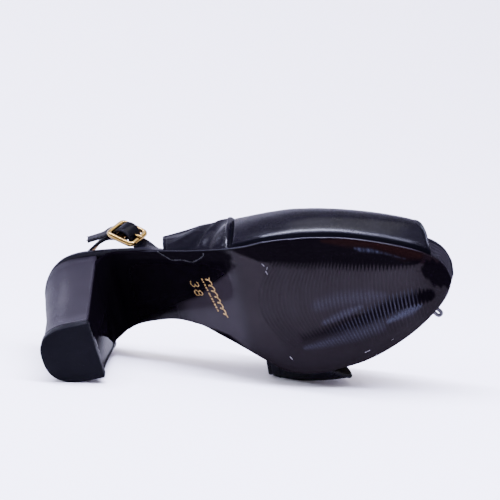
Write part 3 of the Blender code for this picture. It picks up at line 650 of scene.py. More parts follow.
painted_light = shaded(spot_x, spot_y + TOOTH * rib_sign, LATERAL_SHADE)
painted_light = painted_light * shaded(spot_x, spot_y + wobble(spot_x, *TOE_WOBBLE), TOE_SHADE)
painted_light = painted_light * shaded(spot_x + wobble(spot_y, *WAIST_WOBBLE), spot_y, WAIST_SHADE)
streak_side = np.sign(spot_y - rib_axis - STREAK_MIDDLE)
streak_zone = stroke_mask(spot_x, spot_y + TOOTH * rib_sign * streak_side, BALL_SHADE)
crest_line = smooth(rib_crest, *CREST_SPAN) * ribbed * (1 - smooth(spot_x, *CREST_ENDS))
streak = streak_zone * between(STREAK_DARK, smooth(spot_x, *STREAK_DARKENS))
streak = streak * (1 - CREST_LIGHT * crest_line)
# The painted dark streak, painted shade in the rib grooves, and darker painted reflections towards the
# inner side and the toe.
painted_light = painted_light * (1 - streak) * (1 - GROOVE_DIM * rib_share * (0.5 + 0.5 * rib_wave))
painted_light = painted_light * dimmed(spot_y, MEDIAL_DIM) * dimmed(spot_x, TOE_DIM)
# Painted shade: a dark sliver along the inner edge of the waist.
inner_shade = stroke_mask(spot_x, spot_y, INNER_SHADE)
painted_light = painted_light * (1 - INNER_SHADE.strength * inner_shade)
# Painted dark reflection on the turned edge above the heel.
turn_edge = (1 - smooth(spot_x, *TURN_BACK)) * smooth(spot_z, *TURN_RISE) * smooth(-spot_y, *TURN_SIDE)
bend = (1 - smooth(spot_x, *BEND_BACK)) * smooth(spot_z, *BEND_RISE)
painted_light = painted_light * (1 - TURN_DIM * np.maximum(turn_edge, bend))
# On the flap: a painted dark reflection on its outer part above the foot, fine stripes across it, and
# painted shade along its inner edge.
flap = 1 - smooth(spot_x, *FLAP_BACK)
flap_edge = 1 - smooth(heel_side["medial"](spot_z) - FLAP_MARGIN - spot_y, *FLAP_EDGE)
brushed = np.sin(BRUSH_RATE * spot_y + wobble(spot_z, *BRUSH_WANDER)) * np.sin(BRUSH_BUNCH * spot_y)
painted_light = painted_light * (1 - flap * (1 - smooth(spot_y, *FLAP_SIDE)) * smooth(spot_z, *FLAP_RISE))
painted_light = painted_light * (1 - flap * BRUSH_DIM * (1 + brushed)) * (1 - FLAP_EDGE_DIM * flap * flap_edge)
painted_light = painted_light.reshape(sole_points.shape[:2])
# Painted shade on the top face and the outermost edge columns, then a painted highlight line along the
# outer rim from the waist to the toe.
painted_light[:, FACE_STEPS:] *= TOP_SHINE
painted_light[:, :EDGE_COLUMNS] *= EDGE_SHINE
painted_light[:, FACE_STEPS - EDGE_COLUMNS:FACE_STEPS] *= EDGE_SHINE
ring_x = sole_points[:, 0, 0]
lit_rim = smooth(ring_x, *RIM_STARTS) * (1 - smooth(ring_x, *RIM_ENDS))
for turn, shine in enumerate(RIM_SHINE):
    painted_light[:, turn] = painted_light[:, turn] * (1 - lit_rim) + shine * lit_rim
painted_light = painted_light.reshape(-1)

# Painted highlights, a painted warm reflection and a painted pale reflection lie on the resin in soft
# patches, mixed into its colour. The painted highlights are stronger on the crests of the ribs.
Glow = namedtuple("Glow", "strength groove soft strokes")
GLOWS = [
    Glow(0.308, 0.36, 1.0, [
        Stroke(148.0, -1.0, 2.6),
        Stroke(160.0, -2.2, 3.2),
        Stroke(173.0, -0.4, 3.4),
        Stroke(183.0, 0.8, 1.6),
    ]),
    Glow(0.56, 0.36, 1.0, [
        Stroke(150.0, 9.0, 1.2),
        Stroke(161.0, 6.4, 2.0),
        Stroke(170.0, 4.2, 1.2),
    ]),
    Glow(0.46, 0.25, 1.0, [
        Stroke(138.0, 21.6, 1.0),
        Stroke(151.0, 20.0, 2.2),
        Stroke(164.0, 18.6, 3.0),
        Stroke(178.0, 16.4, 3.0),
    ]),
    Glow(0.92, 0.88, 1.0, [
        Stroke(183.0, 15.4, 1.0),
        Stroke(191.0, 12.9, 1.9),
        Stroke(196.0, 11.6, 2.2),
        Stroke(201.0, 10.9, 1.0),
    ]),
]
LATERAL_GLINT = Patch(0.85, 0.9, [
    Stroke(172.0, -27.4, 0.5),
    Stroke(175.5, -25.8, 0.9),
    Stroke(179.5, -24.7, 0.8),
    Stroke(186.9, -21.4, 0.5),
    Stroke(197.0, -16.0, 0.3),
])
GLINT_BEATS = (2.1, 0.73)
GLINT_SHARE = (0.55, 1.0)
GLINT_DIM = Fade(180.0, 188.0, 0.6)
CREST_HIGHLIGHT = 0.38
CREST_HIGHLIGHT_SPAN = (146.0, 164.0)
RIM_HIGHLIGHT = (0.30, 0.60)
RIM_HIGHLIGHT_SPAN = (100.0, 116.0)
RIM_HIGHLIGHT_COLUMNS = slice(1, 3)
REFLECTION_TINT_STARTS = (102.0, 116.0)
# Painted warm reflection: a brownish tint beside the outer edge under the ball.
WARM_REFLECTION_STROKES = Patch(1.0, 1.0, [
    Stroke(156.0, -34.4, 0.6),
    Stroke(168.0, -31.4, 2.0),
    Stroke(180.0, -27.6, 1.6),
    Stroke(190.0, -23.4, 2.4),
    Stroke(198.0, -19.6, 3.4),
    Stroke(205.0, -15.6, 1.6),
])
# Border of the dark painted reflection in the waist; the painted pale reflection lies on its far side.
PALE_REFLECTION_BORDER = [
    (75.8, -2.3),
    (87.7, -7.0),
    (95.6, -14.6),
    (102.9, -19.6),
    (106.7, -23.2),
    (108.6, -27.8),
    (109.3, -34.5),
]
PALE_REFLECTION_SOFT = (-0.8, 1.8)
PALE_REFLECTION_STARTS = (70.0, 84.0)
PALE_REFLECTION_ENDS = (104.0, 113.0)
painted_highlight = np.zeros_like(spot_x)
for glow in GLOWS:
    on_crest = between((glow.groove, 1.0), rib_crest)
    painted_highlight = np.maximum(painted_highlight, glow.strength * stroke_mask(spot_x, spot_y, glow) * on_crest)
painted_highlight = painted_highlight * (1 - streak)
painted_highlight = np.maximum(painted_highlight, CREST_HIGHLIGHT * streak_zone * crest_line * smooth(spot_x, *CREST_HIGHLIGHT_SPAN))
beat = np.sin(spot_x * GLINT_BEATS[0]) * np.sin(spot_x * GLINT_BEATS[1])
glint = LATERAL_GLINT.strength * stroke_mask(spot_x, spot_y, LATERAL_GLINT) * between(GLINT_SHARE, beat)
painted_highlight = np.maximum(painted_highlight, glint * dimmed(spot_x, GLINT_DIM)) * below
painted_highlight = painted_highlight.reshape(sole_points.shape[:2])
# Painted highlight along the lit outer rim.
rim_highlight = lit_rim * between(RIM_HIGHLIGHT, smooth(ring_x, *RIM_HIGHLIGHT_SPAN))
painted_highlight[:, RIM_HIGHLIGHT_COLUMNS] = rim_highlight[:, None]
# Painted reflection tint where the painted light map is bright, from the waist to the toe.
cast = np.clip(painted_light, 0.0, 1.0) * smooth(spot_x, *REFLECTION_TINT_STARTS)
# Painted pale reflection in the waist, beside the border of the dark painted reflection.
pale_reflection_edge = spot_y - np.interp(spot_x, *np.array(PALE_REFLECTION_BORDER).T)
pale_reflection = smooth(pale_reflection_edge, *PALE_REFLECTION_SOFT) * smooth(spot_x, *PALE_REFLECTION_STARTS) * (1 - smooth(spot_x, *PALE_REFLECTION_ENDS))
sole_finish = polished_resin()
sole_mesh = ring_mesh("outsole_resin", sole_points, [sole_finish])
note(sole_mesh, "rib_way", rib_way)
note(sole_mesh, "rib_share", rib_share)
note(sole_mesh, "painted_light", painted_light)
note(sole_mesh, "painted_highlight", painted_highlight)
note(sole_mesh, "cast", cast)
note(sole_mesh, "warm", stroke_mask(spot_x, spot_y, WARM_REFLECTION_STROKES) * below)
note(sole_mesh, "pale_reflection", pale_reflection * below * (1 - inner_shade))


def shape_tree(name, sizes):
    """An empty shape tree with named sizes and a finish, its start, and its sockets' identifiers."""
    tree = bpy.data.node_groups.new(name, "GeometryNodeTree")
    face = tree.interface
    face.new_socket("Geometry", in_out="INPUT", socket_type="NodeSocketGeometry")
    sockets = [face.new_socket(label, in_out="INPUT", socket_type="NodeSocketFloat") for label in sizes]
    sockets.append(face.new_socket("Finish", in_out="INPUT", socket_type="NodeSocketMaterial"))
    face.new_socket("Geometry", in_out="OUTPUT", socket_type="NodeSocketGeometry")
    return tree, tree.nodes.new("NodeGroupInput"), [socket.identifier for socket in sockets]


def end_tree(tree, start, shape):
    """Makes a tree's instances real, gives them the finish and hands them out."""
    real = add_node(tree, "GeometryNodeRealizeInstances", geometry=shape)
    painted = add_node(tree, "GeometryNodeSetMaterial", geometry=real.outputs["Geometry"],
                       material=start.outputs["Finish"])
    add_node(tree, "NodeGroupOutput", geometry=painted.outputs["Geometry"])


def rib_tree():
    """Presses rounded ribs into a surface along its rib_way attribute."""
    tree, start, sockets = shape_tree("moulded_ribs", ("Pitch", "Depth"))
    way, share = (add_node(tree, "GeometryNodeInputNamedAttribute", name=label).outputs["Attribute"]
                  for label in ("rib_way", "rib_share"))
    turns = math_node(tree, "DIVIDE", way, start.outputs["Pitch"])
    wave = math_node(tree, "COSINE", math_node(tree, "MULTIPLY", turns, 2 * pi))
    press = math_node(tree, "MULTIPLY", math_node(tree, "MULTIPLY_ADD", wave, -0.5, -0.5), share)
    normal = tree.nodes.new("GeometryNodeInputNormal")
    offset = vector_node(tree, "SCALE", normal.outputs[0],
                         math_node(tree, "MULTIPLY", press, start.outputs["Depth"]))
    move = add_node(tree, "GeometryNodeSetPosition", geometry=start.outputs["Geometry"], offset=offset)
    end_tree(tree, start, move.outputs["Geometry"])
    return tree, sockets


def settled(source):
    """Plain mesh of an object with its modifiers applied; the object itself is taken away."""
    bpy.context.view_layer.update()
    result = bpy.data.meshes.new_from_object(source.evaluated_get(bpy.context.evaluated_depsgraph_get()))
    bpy.data.objects.remove(source, do_unlink=True)
    return result


def grown(name, mesh, tree, settings):
    """Plain mesh that a node tree makes of another."""
    source = bring_in(name, mesh)
    modifier = source.modifiers.new(name, "NODES")
    modifier.node_group = tree
    for identifier, value in settings:
        modifier[identifier] = value
    return settled(source)


ribs, rib_sockets = rib_tree()
rib_settings = zip(rib_sockets, (RIB_PITCH, RIB_DEPTH * MM, sole_finish))
sole_mesh = grown("outsole_resin", sole_mesh, ribs, rib_settings)
place("outsole_resin", sole_mesh, "patent_sole", "outsole")


# Foil: the size number, a plain scroll of loops and a dashed rule beside it, stamped in gold leaf
# across the waist of the sole, and a thin line of dried cement at the outer edge beside them.
FOIL_RISE = 0.05
FOIL_SINK = 0.12
FOIL_SLANT = 0.24
GLYPH_TOP = 4.1
GLYPH_WIDE = 3.3
GLYPH_PITCH = 5.0
NUMBER_X = 83.7
NUMBER_Y = -15.4
FOIL_W = 0.50
DASH_W = 0.80
SCROLL_W = 0.60


def arc(centre, size, start, end, count=22):
    turns = np.radians(np.linspace(start, end, count))
    return np.stack((centre[0] + size[0] * np.cos(turns), centre[1] + size[1] * np.sin(turns)), axis=1)


def digit_three():
    upper = arc((0.46, 0.76), (0.42, 0.24), 155.0, -90.0)
    lower = arc((0.46, 0.26), (0.48, 0.26), 90.0, -155.0)
    return [np.vstack((upper, lower[1:]))]


def digit_eight():
    return [arc((0.5, 0.76), (0.38, 0.24), 0.0, 360.0, 30),
            arc((0.5, 0.26), (0.47, 0.26), 0.0, 360.0, 30)]


def spline(points, parts):
    """Points along a smooth line through the given ones."""
    points = np.array(points, float)
    ends = np.vstack((2 * points[0] - points[1], points, 2 * points[-1] - points[-2]))
    line = []
    for i in range(1, len(ends) - 2):
        before, a, b, after = ends[i - 1:i + 3]
        for k in range(parts):
            t = k / parts
            line.append(a + 0.5 * t * (b - before + t * (2 * before - 5 * a + 4 * b - after
                                                         + t * (3 * (a - b) + after - before))))
    line.append(points[-1])
    return np.array(line)


def stamped(lines, width):
    """Thin closed bands on the sole's face along lines of (x, y)."""
    points = []
    faces = []
    for line in lines:
        line = np.asarray(line, float)
        tangent = unit(np.gradient(line, axis=0))
        beside = np.stack((-tangent[:, 1], tangent[:, 0]), axis=1) * np.reshape(width, (-1, 1)) / 2
        rings = []
        for spot, off in zip(line, beside):
            corners = (spot + off, spot - off)
            out = [(x, y, sole_face(x, y) - FOIL_RISE * stretch(x)) for x, y in corners]
            back = [(x, y, sole_face(x, y) + FOIL_SINK * stretch(x)) for x, y in corners[::-1]]
            rings.append(out + back)
        shift = len(points)
        points += [point for ring in rings for point in ring]
        faces += [tuple(k + shift for k in face) for face in tube_faces(len(rings), 4)]
    return np.array(points), faces


FOIL_MEAN = (0.36, 0.23, 0.075)
FOIL_GOLD = (0.38, 0.245, 0.082)
FOIL_WORN = (0.055, 0.036, 0.012)


def gold_leaf():
    made, tree, shader, spot = new_material("gold_leaf", FOIL_MEAN, 0.42, metal=0.7)
    rub = noise(tree, spot, scale=1500.0, detail=4.0)
    colour_by(tree, shader, ramp(tree, rub, (0.36, 0.56)), FOIL_WORN, FOIL_GOLD)
    tree.links.new(ramp(tree, rub, (0.3, 0.7), (0.55, 0.34)), shader.inputs["Roughness"])
    return made


def stamp(name, lines, width, material, slot):
    place(name, make_mesh(name, *stamped(lines, width), [material]), slot)


foil = gold_leaf()
number_lines = []
for column, strokes in enumerate((digit_three(), digit_eight())):
    for stroke in strokes:
        run = stroke[:, 0] * GLYPH_WIDE + column * GLYPH_PITCH
        rise = stroke[:, 1] * GLYPH_TOP + FOIL_SLANT * run
        number_lines.append(np.stack((NUMBER_X + rise, NUMBER_Y + run), axis=1))
stamp("size_number", number_lines, FOIL_W, foil, "gilt_metal")

SCROLL = np.array(((93.4, -18.4), (99.9, 4.2)))
SCROLL_TURNS = 7
SCROLL_STEPS = 240
SCROLL_RISE = 1.15
SCROLL_TAPER = 0.4
SCROLL_LOOP = 0.85
SCROLL_SLANT = 0.45
scroll_run = SCROLL[1] - SCROLL[0]
scroll_side = unit((scroll_run[1], -scroll_run[0]))
scroll_share = np.linspace(0.0, 1.0, SCROLL_STEPS)[:, None]
scroll_turn = 2 * pi * SCROLL_TURNS * scroll_share
scroll_high = SCROLL_RISE * np.cos(scroll_turn) * (1 - SCROLL_TAPER * scroll_share)
scroll_ahead = SCROLL_LOOP * np.sin(scroll_turn) + SCROLL_SLANT * scroll_high
scroll_line = SCROLL[0] + scroll_run * scroll_share + scroll_side * scroll_high
stamp("foil_scroll", [scroll_line + unit(scroll_run) * scroll_ahead], SCROLL_W, foil, "gilt_metal")

DASH_ROW = np.array(((90.6, -17.4), (96.2, 1.6)))
DASHES = (0.7, 0.5, 0.75, 0.6, 0.4, 0.8, 0.55, 0.7, 0.45, 0.75, 0.6, 0.7)
DASH_POINTS = 4
dash_run = (DASH_ROW[1] - DASH_ROW[0]) / len(DASHES)
dash_lines = [DASH_ROW[0] + dash_run * np.linspace(step, step + share, DASH_POINTS)[:, None]
              for step, share in enumerate(DASHES)]
stamp("foil_dashes", dash_lines, DASH_W, foil, "gilt_metal")

CEMENT_MEAN = (0.02, 0.02, 0.024)
CEMENT_DARK = (0.003, 0.003, 0.004)
CEMENT_PALE = (0.013, 0.0125, 0.016)
CEMENT_LINE = [
    (68.8, -31.2),
    (70.8, -29.8),
    (73.6, -28.2),
    (76.3, -26.8),
    (81.9, -27.2),
    (87.0, -26.4),
    (90.9, -28.1),
    (93.8, -30.2),
    (94.2, -31.8),
]
CEMENT_PARTS = 14
CEMENT_W = 0.58
CEMENT_LUMPS = ((0.22, 0.43), (0.12, 0.97))


def dried_cement():
    made, tree, shader, spot = new_material("dried_cement", CEMENT_MEAN, 0.4, specular=0.1)
    crumb = noise(tree, spot, scale=700.0, detail=3.0)
    colour_by(tree, shader, ramp(tree, crumb, (0.35, 0.65)), CEMENT_DARK, CEMENT_PALE)
    return made


cement_way = spline(CEMENT_LINE, CEMENT_PARTS)
cement_step = np.arange(len(cement_way))
cement_width = CEMENT_W + sum(wobble(cement_step, *lump) for lump in CEMENT_LUMPS)
stamp("cement_line", [cement_way], cement_width, dried_cement(), "patent_sole")


# Heel block: a tall moulded block, D-shaped in section, wrapped in smooth black leather that is
# stretched tight, turned under at the foot in a narrow bead, and buffed to a satin shine.
SEAT_BACK_X = -3.0
SEAT_BACK_RISE = 8.6
SEAT_BACK_SLOPE = 0.14
GAP = 0.3
D_POWER = 2.6
D_STRAIGHT = 0.30
D_CORNER = 0.9
BREAST_LIP = 0.5
HEEL_LEVELS = 70
HEEL_TOP_TURN = radians(54.0)
TURN_LEAN = 0.1
CORNER_STEPS = 6
SIDE_STEPS = 4
BACK_STEPS = 65
BEAD_H = 2.4
Bead = namedtuple("Bead", "rise out")
BEADS = [
    Bead(0.0, -0.55),
    Bead(0.12, -0.2),
    Bead(0.35, 0.12),
    Bead(0.7, 0.3),
    Bead(1.1, 0.22),
    Bead(1.6, 0.0),
]


def seat_line(x):
    """Height of the heel seat under the insole board."""
    start = sole_top(fillet_x) + 2 * GAP
    length = fillet_x - SEAT_BACK_X
    t = (fillet_x - x) / length
    climb = (t ** 3 - 2 * t * t + t) * BREAST_SLOPE + (t ** 3 - t * t) * SEAT_BACK_SLOPE
    return start + (3 * t * t - 2 * t ** 3) * SEAT_BACK_RISE + climb * length


def d_ring(front, back, lateral, medial, skew, height):
    """D-shaped section: straight breast, small corners, straight sides, full round back."""
    middle = front - (front - back) * D_STRAIGHT
    corner = np.radians(np.linspace(0.0, 90.0, CORNER_STEPS))
    turns = np.linspace(0.0, pi, BACK_STEPS)
    reach = np.abs(np.cos(turns)) ** (2 / D_POWER)
    back_x = middle - (middle - back) * np.clip(np.sin(turns), 0.0, 1.0) ** (2 / D_POWER)
    back_y = np.where(turns < pi / 2, medial, -lateral) * reach
    turn_x = front - D_CORNER + D_CORNER * np.cos(corner)
    turn_y = D_CORNER * (np.sin(corner) - 1)
    side_x = np.linspace(front - D_CORNER, middle, SIDE_STEPS + 2)[1:-1]
    xs = np.concatenate(((front, front), turn_x, side_x, back_x, side_x[::-1], turn_x[::-1], (front,)))
    ys = np.concatenate(((0.0, medial * 0.5), medial + turn_y, np.full(SIDE_STEPS, medial), back_y,
                         np.full(SIDE_STEPS, -lateral), -lateral - turn_y[::-1], (-lateral * 0.5,)))
    return np.stack((xs + skew * ys, ys, height(xs)), axis=1)


def heel_front(z):
    """Front of the leather cover, just behind the face of the sole's turn and flap."""
    rise = z - fillet_centre[1]
    if rise <= 0:
        return BREAST_X - FLAP_LEAN * rise / (FLAP_FOOT_Z - fillet_centre[1]) - BREAST_LIP
    return BREAST_X - BREAST_LIP + TURN_LEAN * rise


def level(z):
    return lambda x: np.full_like(x, z)


def leather_heel():
    """Rings of the cover from the bead at its foot to the slope of the heel seat."""
    rings = []
    top = fillet_centre[1] + (FILLET_R + SHANK_T + GAP) * sin(HEEL_TOP_TURN)
    levels = [(FLAP_FOOT_Z + bead.rise, bead.out) for bead in BEADS]
    levels += [(z, 0.0) for z in np.linspace(FLAP_FOOT_Z + BEAD_H, top, HEEL_LEVELS)]
    for z, out in levels:
        side = {name: line(z) for name, line in heel_side.items()}
        rings.append(d_ring(heel_front(z), side["back"] - out, side["lateral"] + out,
                            side["medial"] + out, side["skew"], level(z)))
    side = {name: line(BREAST_Z) for name, line in heel_side.items()}
    rings.append(d_ring(heel_front(top), side["back"], side["lateral"], side["medial"], side["skew"],
                        lambda x: seat_line(x) - GAP))
    return np.array(rings)


def grain_group():
    """Height and mottle of fine leather: small pebbles over slow, soft unevenness."""
    group, start, end = add_group(
        "leather_grain",
        [("Place", "NodeSocketVector", None), ("Pebble", "NodeSocketFloat", 1400.0),
         ("Soft", "NodeSocketFloat", 120.0)],
        [("Height", "NodeSocketFloat"), ("Mottle", "NodeSocketFloat")])
    spot = start.outputs["Place"]
    pebble = add_node(group, "ShaderNodeTexVoronoi", vector=spot, scale=start.outputs["Pebble"])
    pebble.feature = "SMOOTH_F1"
    fibre = noise(group, spot, scale=start.outputs["Pebble"], detail=3.0)
    slow = noise(group, spot, scale=start.outputs["Soft"], detail=4.0)
    height = math_node(group, "MULTIPLY_ADD", fibre, 0.5, pebble.outputs["Distance"])
    height = math_node(group, "MULTIPLY_ADD", slow, 1.2, height)
    group.links.new(height, end.inputs["Height"])
    group.links.new(slow, end.inputs["Mottle"])
    return group


leather_grain = grain_group()
DEEP_SHADE = (0.0010, 0.0010, 0.0016)
GRAIN_DEEP = 0.00012


def leather(name, colour, worn_colour, rough, gloss, pebble, soft, depth, with_painted_light=False):
    """Leather: mottled colour, a thin satin finish broken by the grain, the grain as relief, and on request
    a map of painted light over colour and finish.
    """
    made, tree, shader, spot = new_material(name, colour, 0.6, specular=0.0, blur=rough)
    node = tree.nodes.new("ShaderNodeGroup")
    node.node_tree = leather_grain
    tree.links.new(spot, node.inputs["Place"])
    node.inputs["Pebble"].default_value = pebble
    node.inputs["Soft"].default_value = soft
    mottled = mix_colour(tree, ramp(tree, node.outputs["Mottle"], (0.3, 0.7)), colour, worn_colour)
    finish = ramp(tree, node.outputs["Mottle"], (0.25, 0.75), (gloss * 1.2, gloss * 0.8))
    broken = ramp(tree, node.outputs["Height"], (0.7, 1.6), (1 - depth, 1 + depth))
    finish = math_node(tree, "MULTIPLY", finish, broken)
    if with_painted_light:
        # Painted light: where the map is low the colour is darkened into painted shade, and the map scales
        # the finish into painted highlights and painted shade.
        rub = read_attribute(tree, "painted_light")
        mottled = mix_colour(tree, ramp(tree, rub, (0.0, 0.6)), DEEP_SHADE, mottled)
        finish = math_node(tree, "MULTIPLY", finish, rub)
    tree.links.new(mottled, shader.inputs["Base Color"])
    tree.links.new(finish, shader.inputs["Coat Weight"])
    bump(tree, shader, node.outputs["Height"], depth, GRAIN_DEEP)
    return made


HEEL_BLACK = (0.0084, 0.0068, 0.0096)
HEEL_WORN = (0.0106, 0.0088, 0.0122)
HEEL_SHINE = 0.98
HEEL_GLEAM = Ridge(1.55, 14.8, 3.4)
HEEL_GLEAM_RISE = Ridge(1.0, 44.0, 20.0)
HEEL_TOP_DIM = Fade(58.0, 76.0, 0.55)
HEEL_BACK_DIM = Fade(9.0, 0.0, 0.30)
CORNER_GLEAM = Ridge(0.5, 31.4, 0.9)
CORNER_SKEW = 0.03
heel_leather = leather("heel_leather", HEEL_BLACK, HEEL_WORN, rough=0.24, gloss=0.150,
                       pebble=1500.0, soft=60.0, depth=0.20, with_painted_light=True)
heel_rings = leather_heel()
heel_x, heel_y, heel_z = heel_rings.reshape(-1, 3).T
# Painted light on the cover's gloss: a painted upright highlight part way along the sides, painted shade
# towards the top and the back, and a painted highlight along the front corner.
heel_painted_light = HEEL_SHINE + ridge(heel_x, HEEL_GLEAM) * ridge(heel_z, HEEL_GLEAM_RISE)
heel_painted_light = heel_painted_light * dimmed(heel_z, HEEL_TOP_DIM) * dimmed(heel_x, HEEL_BACK_DIM)
heel_painted_light = heel_painted_light + ridge(heel_x - heel_y * CORNER_SKEW, CORNER_GLEAM)
heel_mesh = ring_mesh("heel_cover", heel_rings, [heel_leather])
note(heel_mesh, "painted_light", heel_painted_light)
place("heel_cover", heel_mesh, "black_leather", "heel_block")


# Top lift: the matt rubber wearing piece nailed under the heel, trimmed flush with the cover and
# lightly scratched by the ground.
LIFT_H = 6.4
LIFT_BACK = 2.3
LIFT_PROUD = 0.2
LIFT_LEVELS = [
    Bead(0.0, -0.45),
    Bead(0.12, -0.18),
    Bead(0.4, 0.0),
    Bead(3.0, 0.0),
    Bead(LIFT_H - 0.35, 0.0),
    Bead(LIFT_H - 0.1, -0.1),
    Bead(LIFT_H, -0.3),
]
RUBBER_MEAN = (0.006, 0.006, 0.009)
RUBBER_BLACK = (0.0027, 0.0026, 0.0039)
RUBBER_DUST = (0.010, 0.010, 0.013)


def lift_rubber():
    made, tree, shader, spot = new_material("lift_rubber", RUBBER_MEAN, 0.62, specular=0.02)
    speck = noise(tree, spot, scale=1800.0, detail=3.0)
    slow = noise(tree, spot, scale=90.0, detail=5.0)
    colour_by(tree, shader, ramp(tree, speck, (0.66, 0.76)), RUBBER_BLACK, RUBBER_DUST)
    tree.links.new(ramp(tree, slow, (0.3, 0.7), (0.52, 0.74)), shader.inputs["Roughness"])
    bump(tree, shader, speck, 0.2, 0.00012)
    return made


lift_rings = []
for bead in LIFT_LEVELS:
    lift_rings.append(d_ring(BREAST_X - FLAP_LEAN + LIFT_PROUD + bead.out, LIFT_BACK - bead.out,
                             HEEL[0].lateral + GAP + bead.out, HEEL[0].medial + GAP + bead.out,
                             HEEL[0].skew, level(bead.rise)))
place("heel_tip", ring_mesh("heel_tip", lift_rings, [lift_rubber()]), "lift_rubber", "top_lift")


# Platform and footbed: the covered board under the ball of the foot, and the insole board above
# it with its edge bound in black leather.
CREASE_TURN = radians(62.0)
JOIN_TURN = radians(42.0)
JOIN_SHAPE = radians(70.0)
MERGE_M = 0.00001
CREASE = 0.92


def refined(node, name, material, levels, swell=0.0):
    """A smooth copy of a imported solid: merged, paired, subdivided, and swelled back to its size."""
    form = bmesh.new()
    form.from_mesh(frame["nodes"][node].data)
    bmesh.ops.remove_doubles(form, verts=form.verts, dist=MERGE_M)
    bmesh.ops.join_triangles(form, faces=form.faces, angle_face_threshold=JOIN_TURN,
                             angle_shape_threshold=JOIN_SHAPE)
    layer = form.edges.layers.float.get("crease_edge") or form.edges.layers.float.new("crease_edge")
    for line in form.edges:
        if line.is_manifold and line.calc_face_angle() > CREASE_TURN:
            line[layer] = CREASE
    mesh = bpy.data.meshes.new(name)
    form.to_mesh(mesh)
    form.free()
    mesh.materials.append(material)
    source = bring_in(name, mesh)
    divide = source.modifiers.new("divide", "SUBSURF")
    divide.levels = levels
    divide.render_levels = levels
    result = settled(source)
    result.polygons.foreach_set("use_smooth", [True] * len(result.polygons))
    result.polygons.foreach_set("material_index", [0] * len(result.polygons))
    if swell:
        spots = np.empty(len(result.vertices) * 3)
        result.vertices.foreach_get("co", spots)
        ways = np.empty(len(result.vertices) * 3)
        result.vertices.foreach_get("normal", ways)
        result.vertices.foreach_set("co", spots + ways * swell * MM)
    result.set_sharp_from_angle(angle=SHARP_TURN)
    return result


COVER_BLACK = (0.0046, 0.0040, 0.0066)
COVER_WORN = (0.0062, 0.0055, 0.0086)
PLATFORM_MEAN = (0.0070, 0.0062, 0.0088)
PLATFORM_PALE = (0.0112, 0.0096, 0.0124)
PLATFORM_DARK = (0.0036, 0.0031, 0.0044)
LINE_PITCH = 1.5


def lined_leather():
    """Matt leather with fine lines round the platform, one above the other."""
    made, tree, shader, spot = new_material("platform_leather", PLATFORM_MEAN, 0.6, specular=0.0, blur=0.5)
    height = vector_node(tree, "DOT_PRODUCT", spot, LIE[:, 2].tolist())
    turn = math_node(tree, "MULTIPLY", height, 2 * pi / (LINE_PITCH * MM))
    wave = math_node(tree, "SINE", turn)
    colour_by(tree, shader, ramp(tree, wave, (0.2, 1.0), (0.0, 0.6)), PLATFORM_PALE, PLATFORM_DARK)
    speck = noise(tree, spot, scale=1400.0, detail=3.0)
    tree.links.new(ramp(tree, speck, (0.3, 0.7), (0.02, 0.05)), shader.inputs["Coat Weight"])
    bump(tree, shader, wave, 0.3, 0.0002)
    return made


cover_leather = leather("cover_leather", COVER_BLACK, COVER_WORN, rough=0.28, gloss=0.09,
                        pebble=1500.0, soft=80.0, depth=0.2)
for name, node, finish, levels in (("platform_cover", "platform", lined_leather(), 3),
                                   ("footbed_board", "footbed", cover_leather, 2)):
    place(name, refined(node, name, finish, levels), "black_leather", node)


# Sock: the thin tan leather sheet that the foot rests on. It is glued on the insole board, a little
# short of the board's bound edge.
SOCK_INSET = 2.4
SOCK_ENDS = (-0.4, 221.0)
SOCK_STEP = 1.6
SOCK_RISE = 0.4
SOCK_SINK = 0.5
SOCK_FLAT = 24
SOCK_UNDER = 5
SOCK_ACROSS = np.concatenate((np.linspace(-1.0, -0.94, 4), np.linspace(-0.8, 0.8, 11),
                              np.linspace(0.94, 1.0, 4)))
SLICE_HALF = 0.06
TAN = (0.115, 0.066, 0.030)
TAN_WORN = (0.150, 0.090, 0.043)
board = np.empty(len(frame["nodes"]["footbed"].data.vertices) * 3)
frame["nodes"]["footbed"].data.vertices.foreach_get("co", board)
board = (board.reshape(-1, 3) - LIE_SHIFT) / MM @ LIE
board_x = np.unique(np.round(board[:, 0], 1))
board_rows = [board[np.abs(board[:, 0] - x) < SLICE_HALF] for x in board_x]
board_low = np.array([rows[:, 1].min() for rows in board_rows])
board_high = np.array([rows[:, 1].max() for rows in board_rows])
board_top = np.array([rows[:, 2].max() for rows in board_rows])
sock_rings = []
for x in np.arange(*SOCK_ENDS, SOCK_STEP):
    low = np.interp(x, board_x, board_low) + SOCK_INSET
    high = np.interp(x, board_x, board_high) - SOCK_INSET
    top = np.interp(x, board_x, board_top)
    across = (low + high) / 2 + (high - low) / 2 * SOCK_ACROSS
    ys = np.concatenate((across, np.linspace(high, low, SOCK_UNDER)))
    zs = np.concatenate((top + SOCK_RISE * (1 - np.abs(SOCK_ACROSS) ** SOCK_FLAT),
                         np.full(SOCK_UNDER, top - SOCK_SINK)))
    sock_rings.append(np.stack((np.full_like(ys, x), ys, zs), axis=1))
tan_lining = leather("tan_lining", TAN, TAN_WORN, rough=0.5, gloss=0.05,
                     pebble=1100.0, soft=90.0, depth=0.3)
place("sock_sheet", ring_mesh("sock_sheet", sock_rings, [tan_lining]), "black_leather")


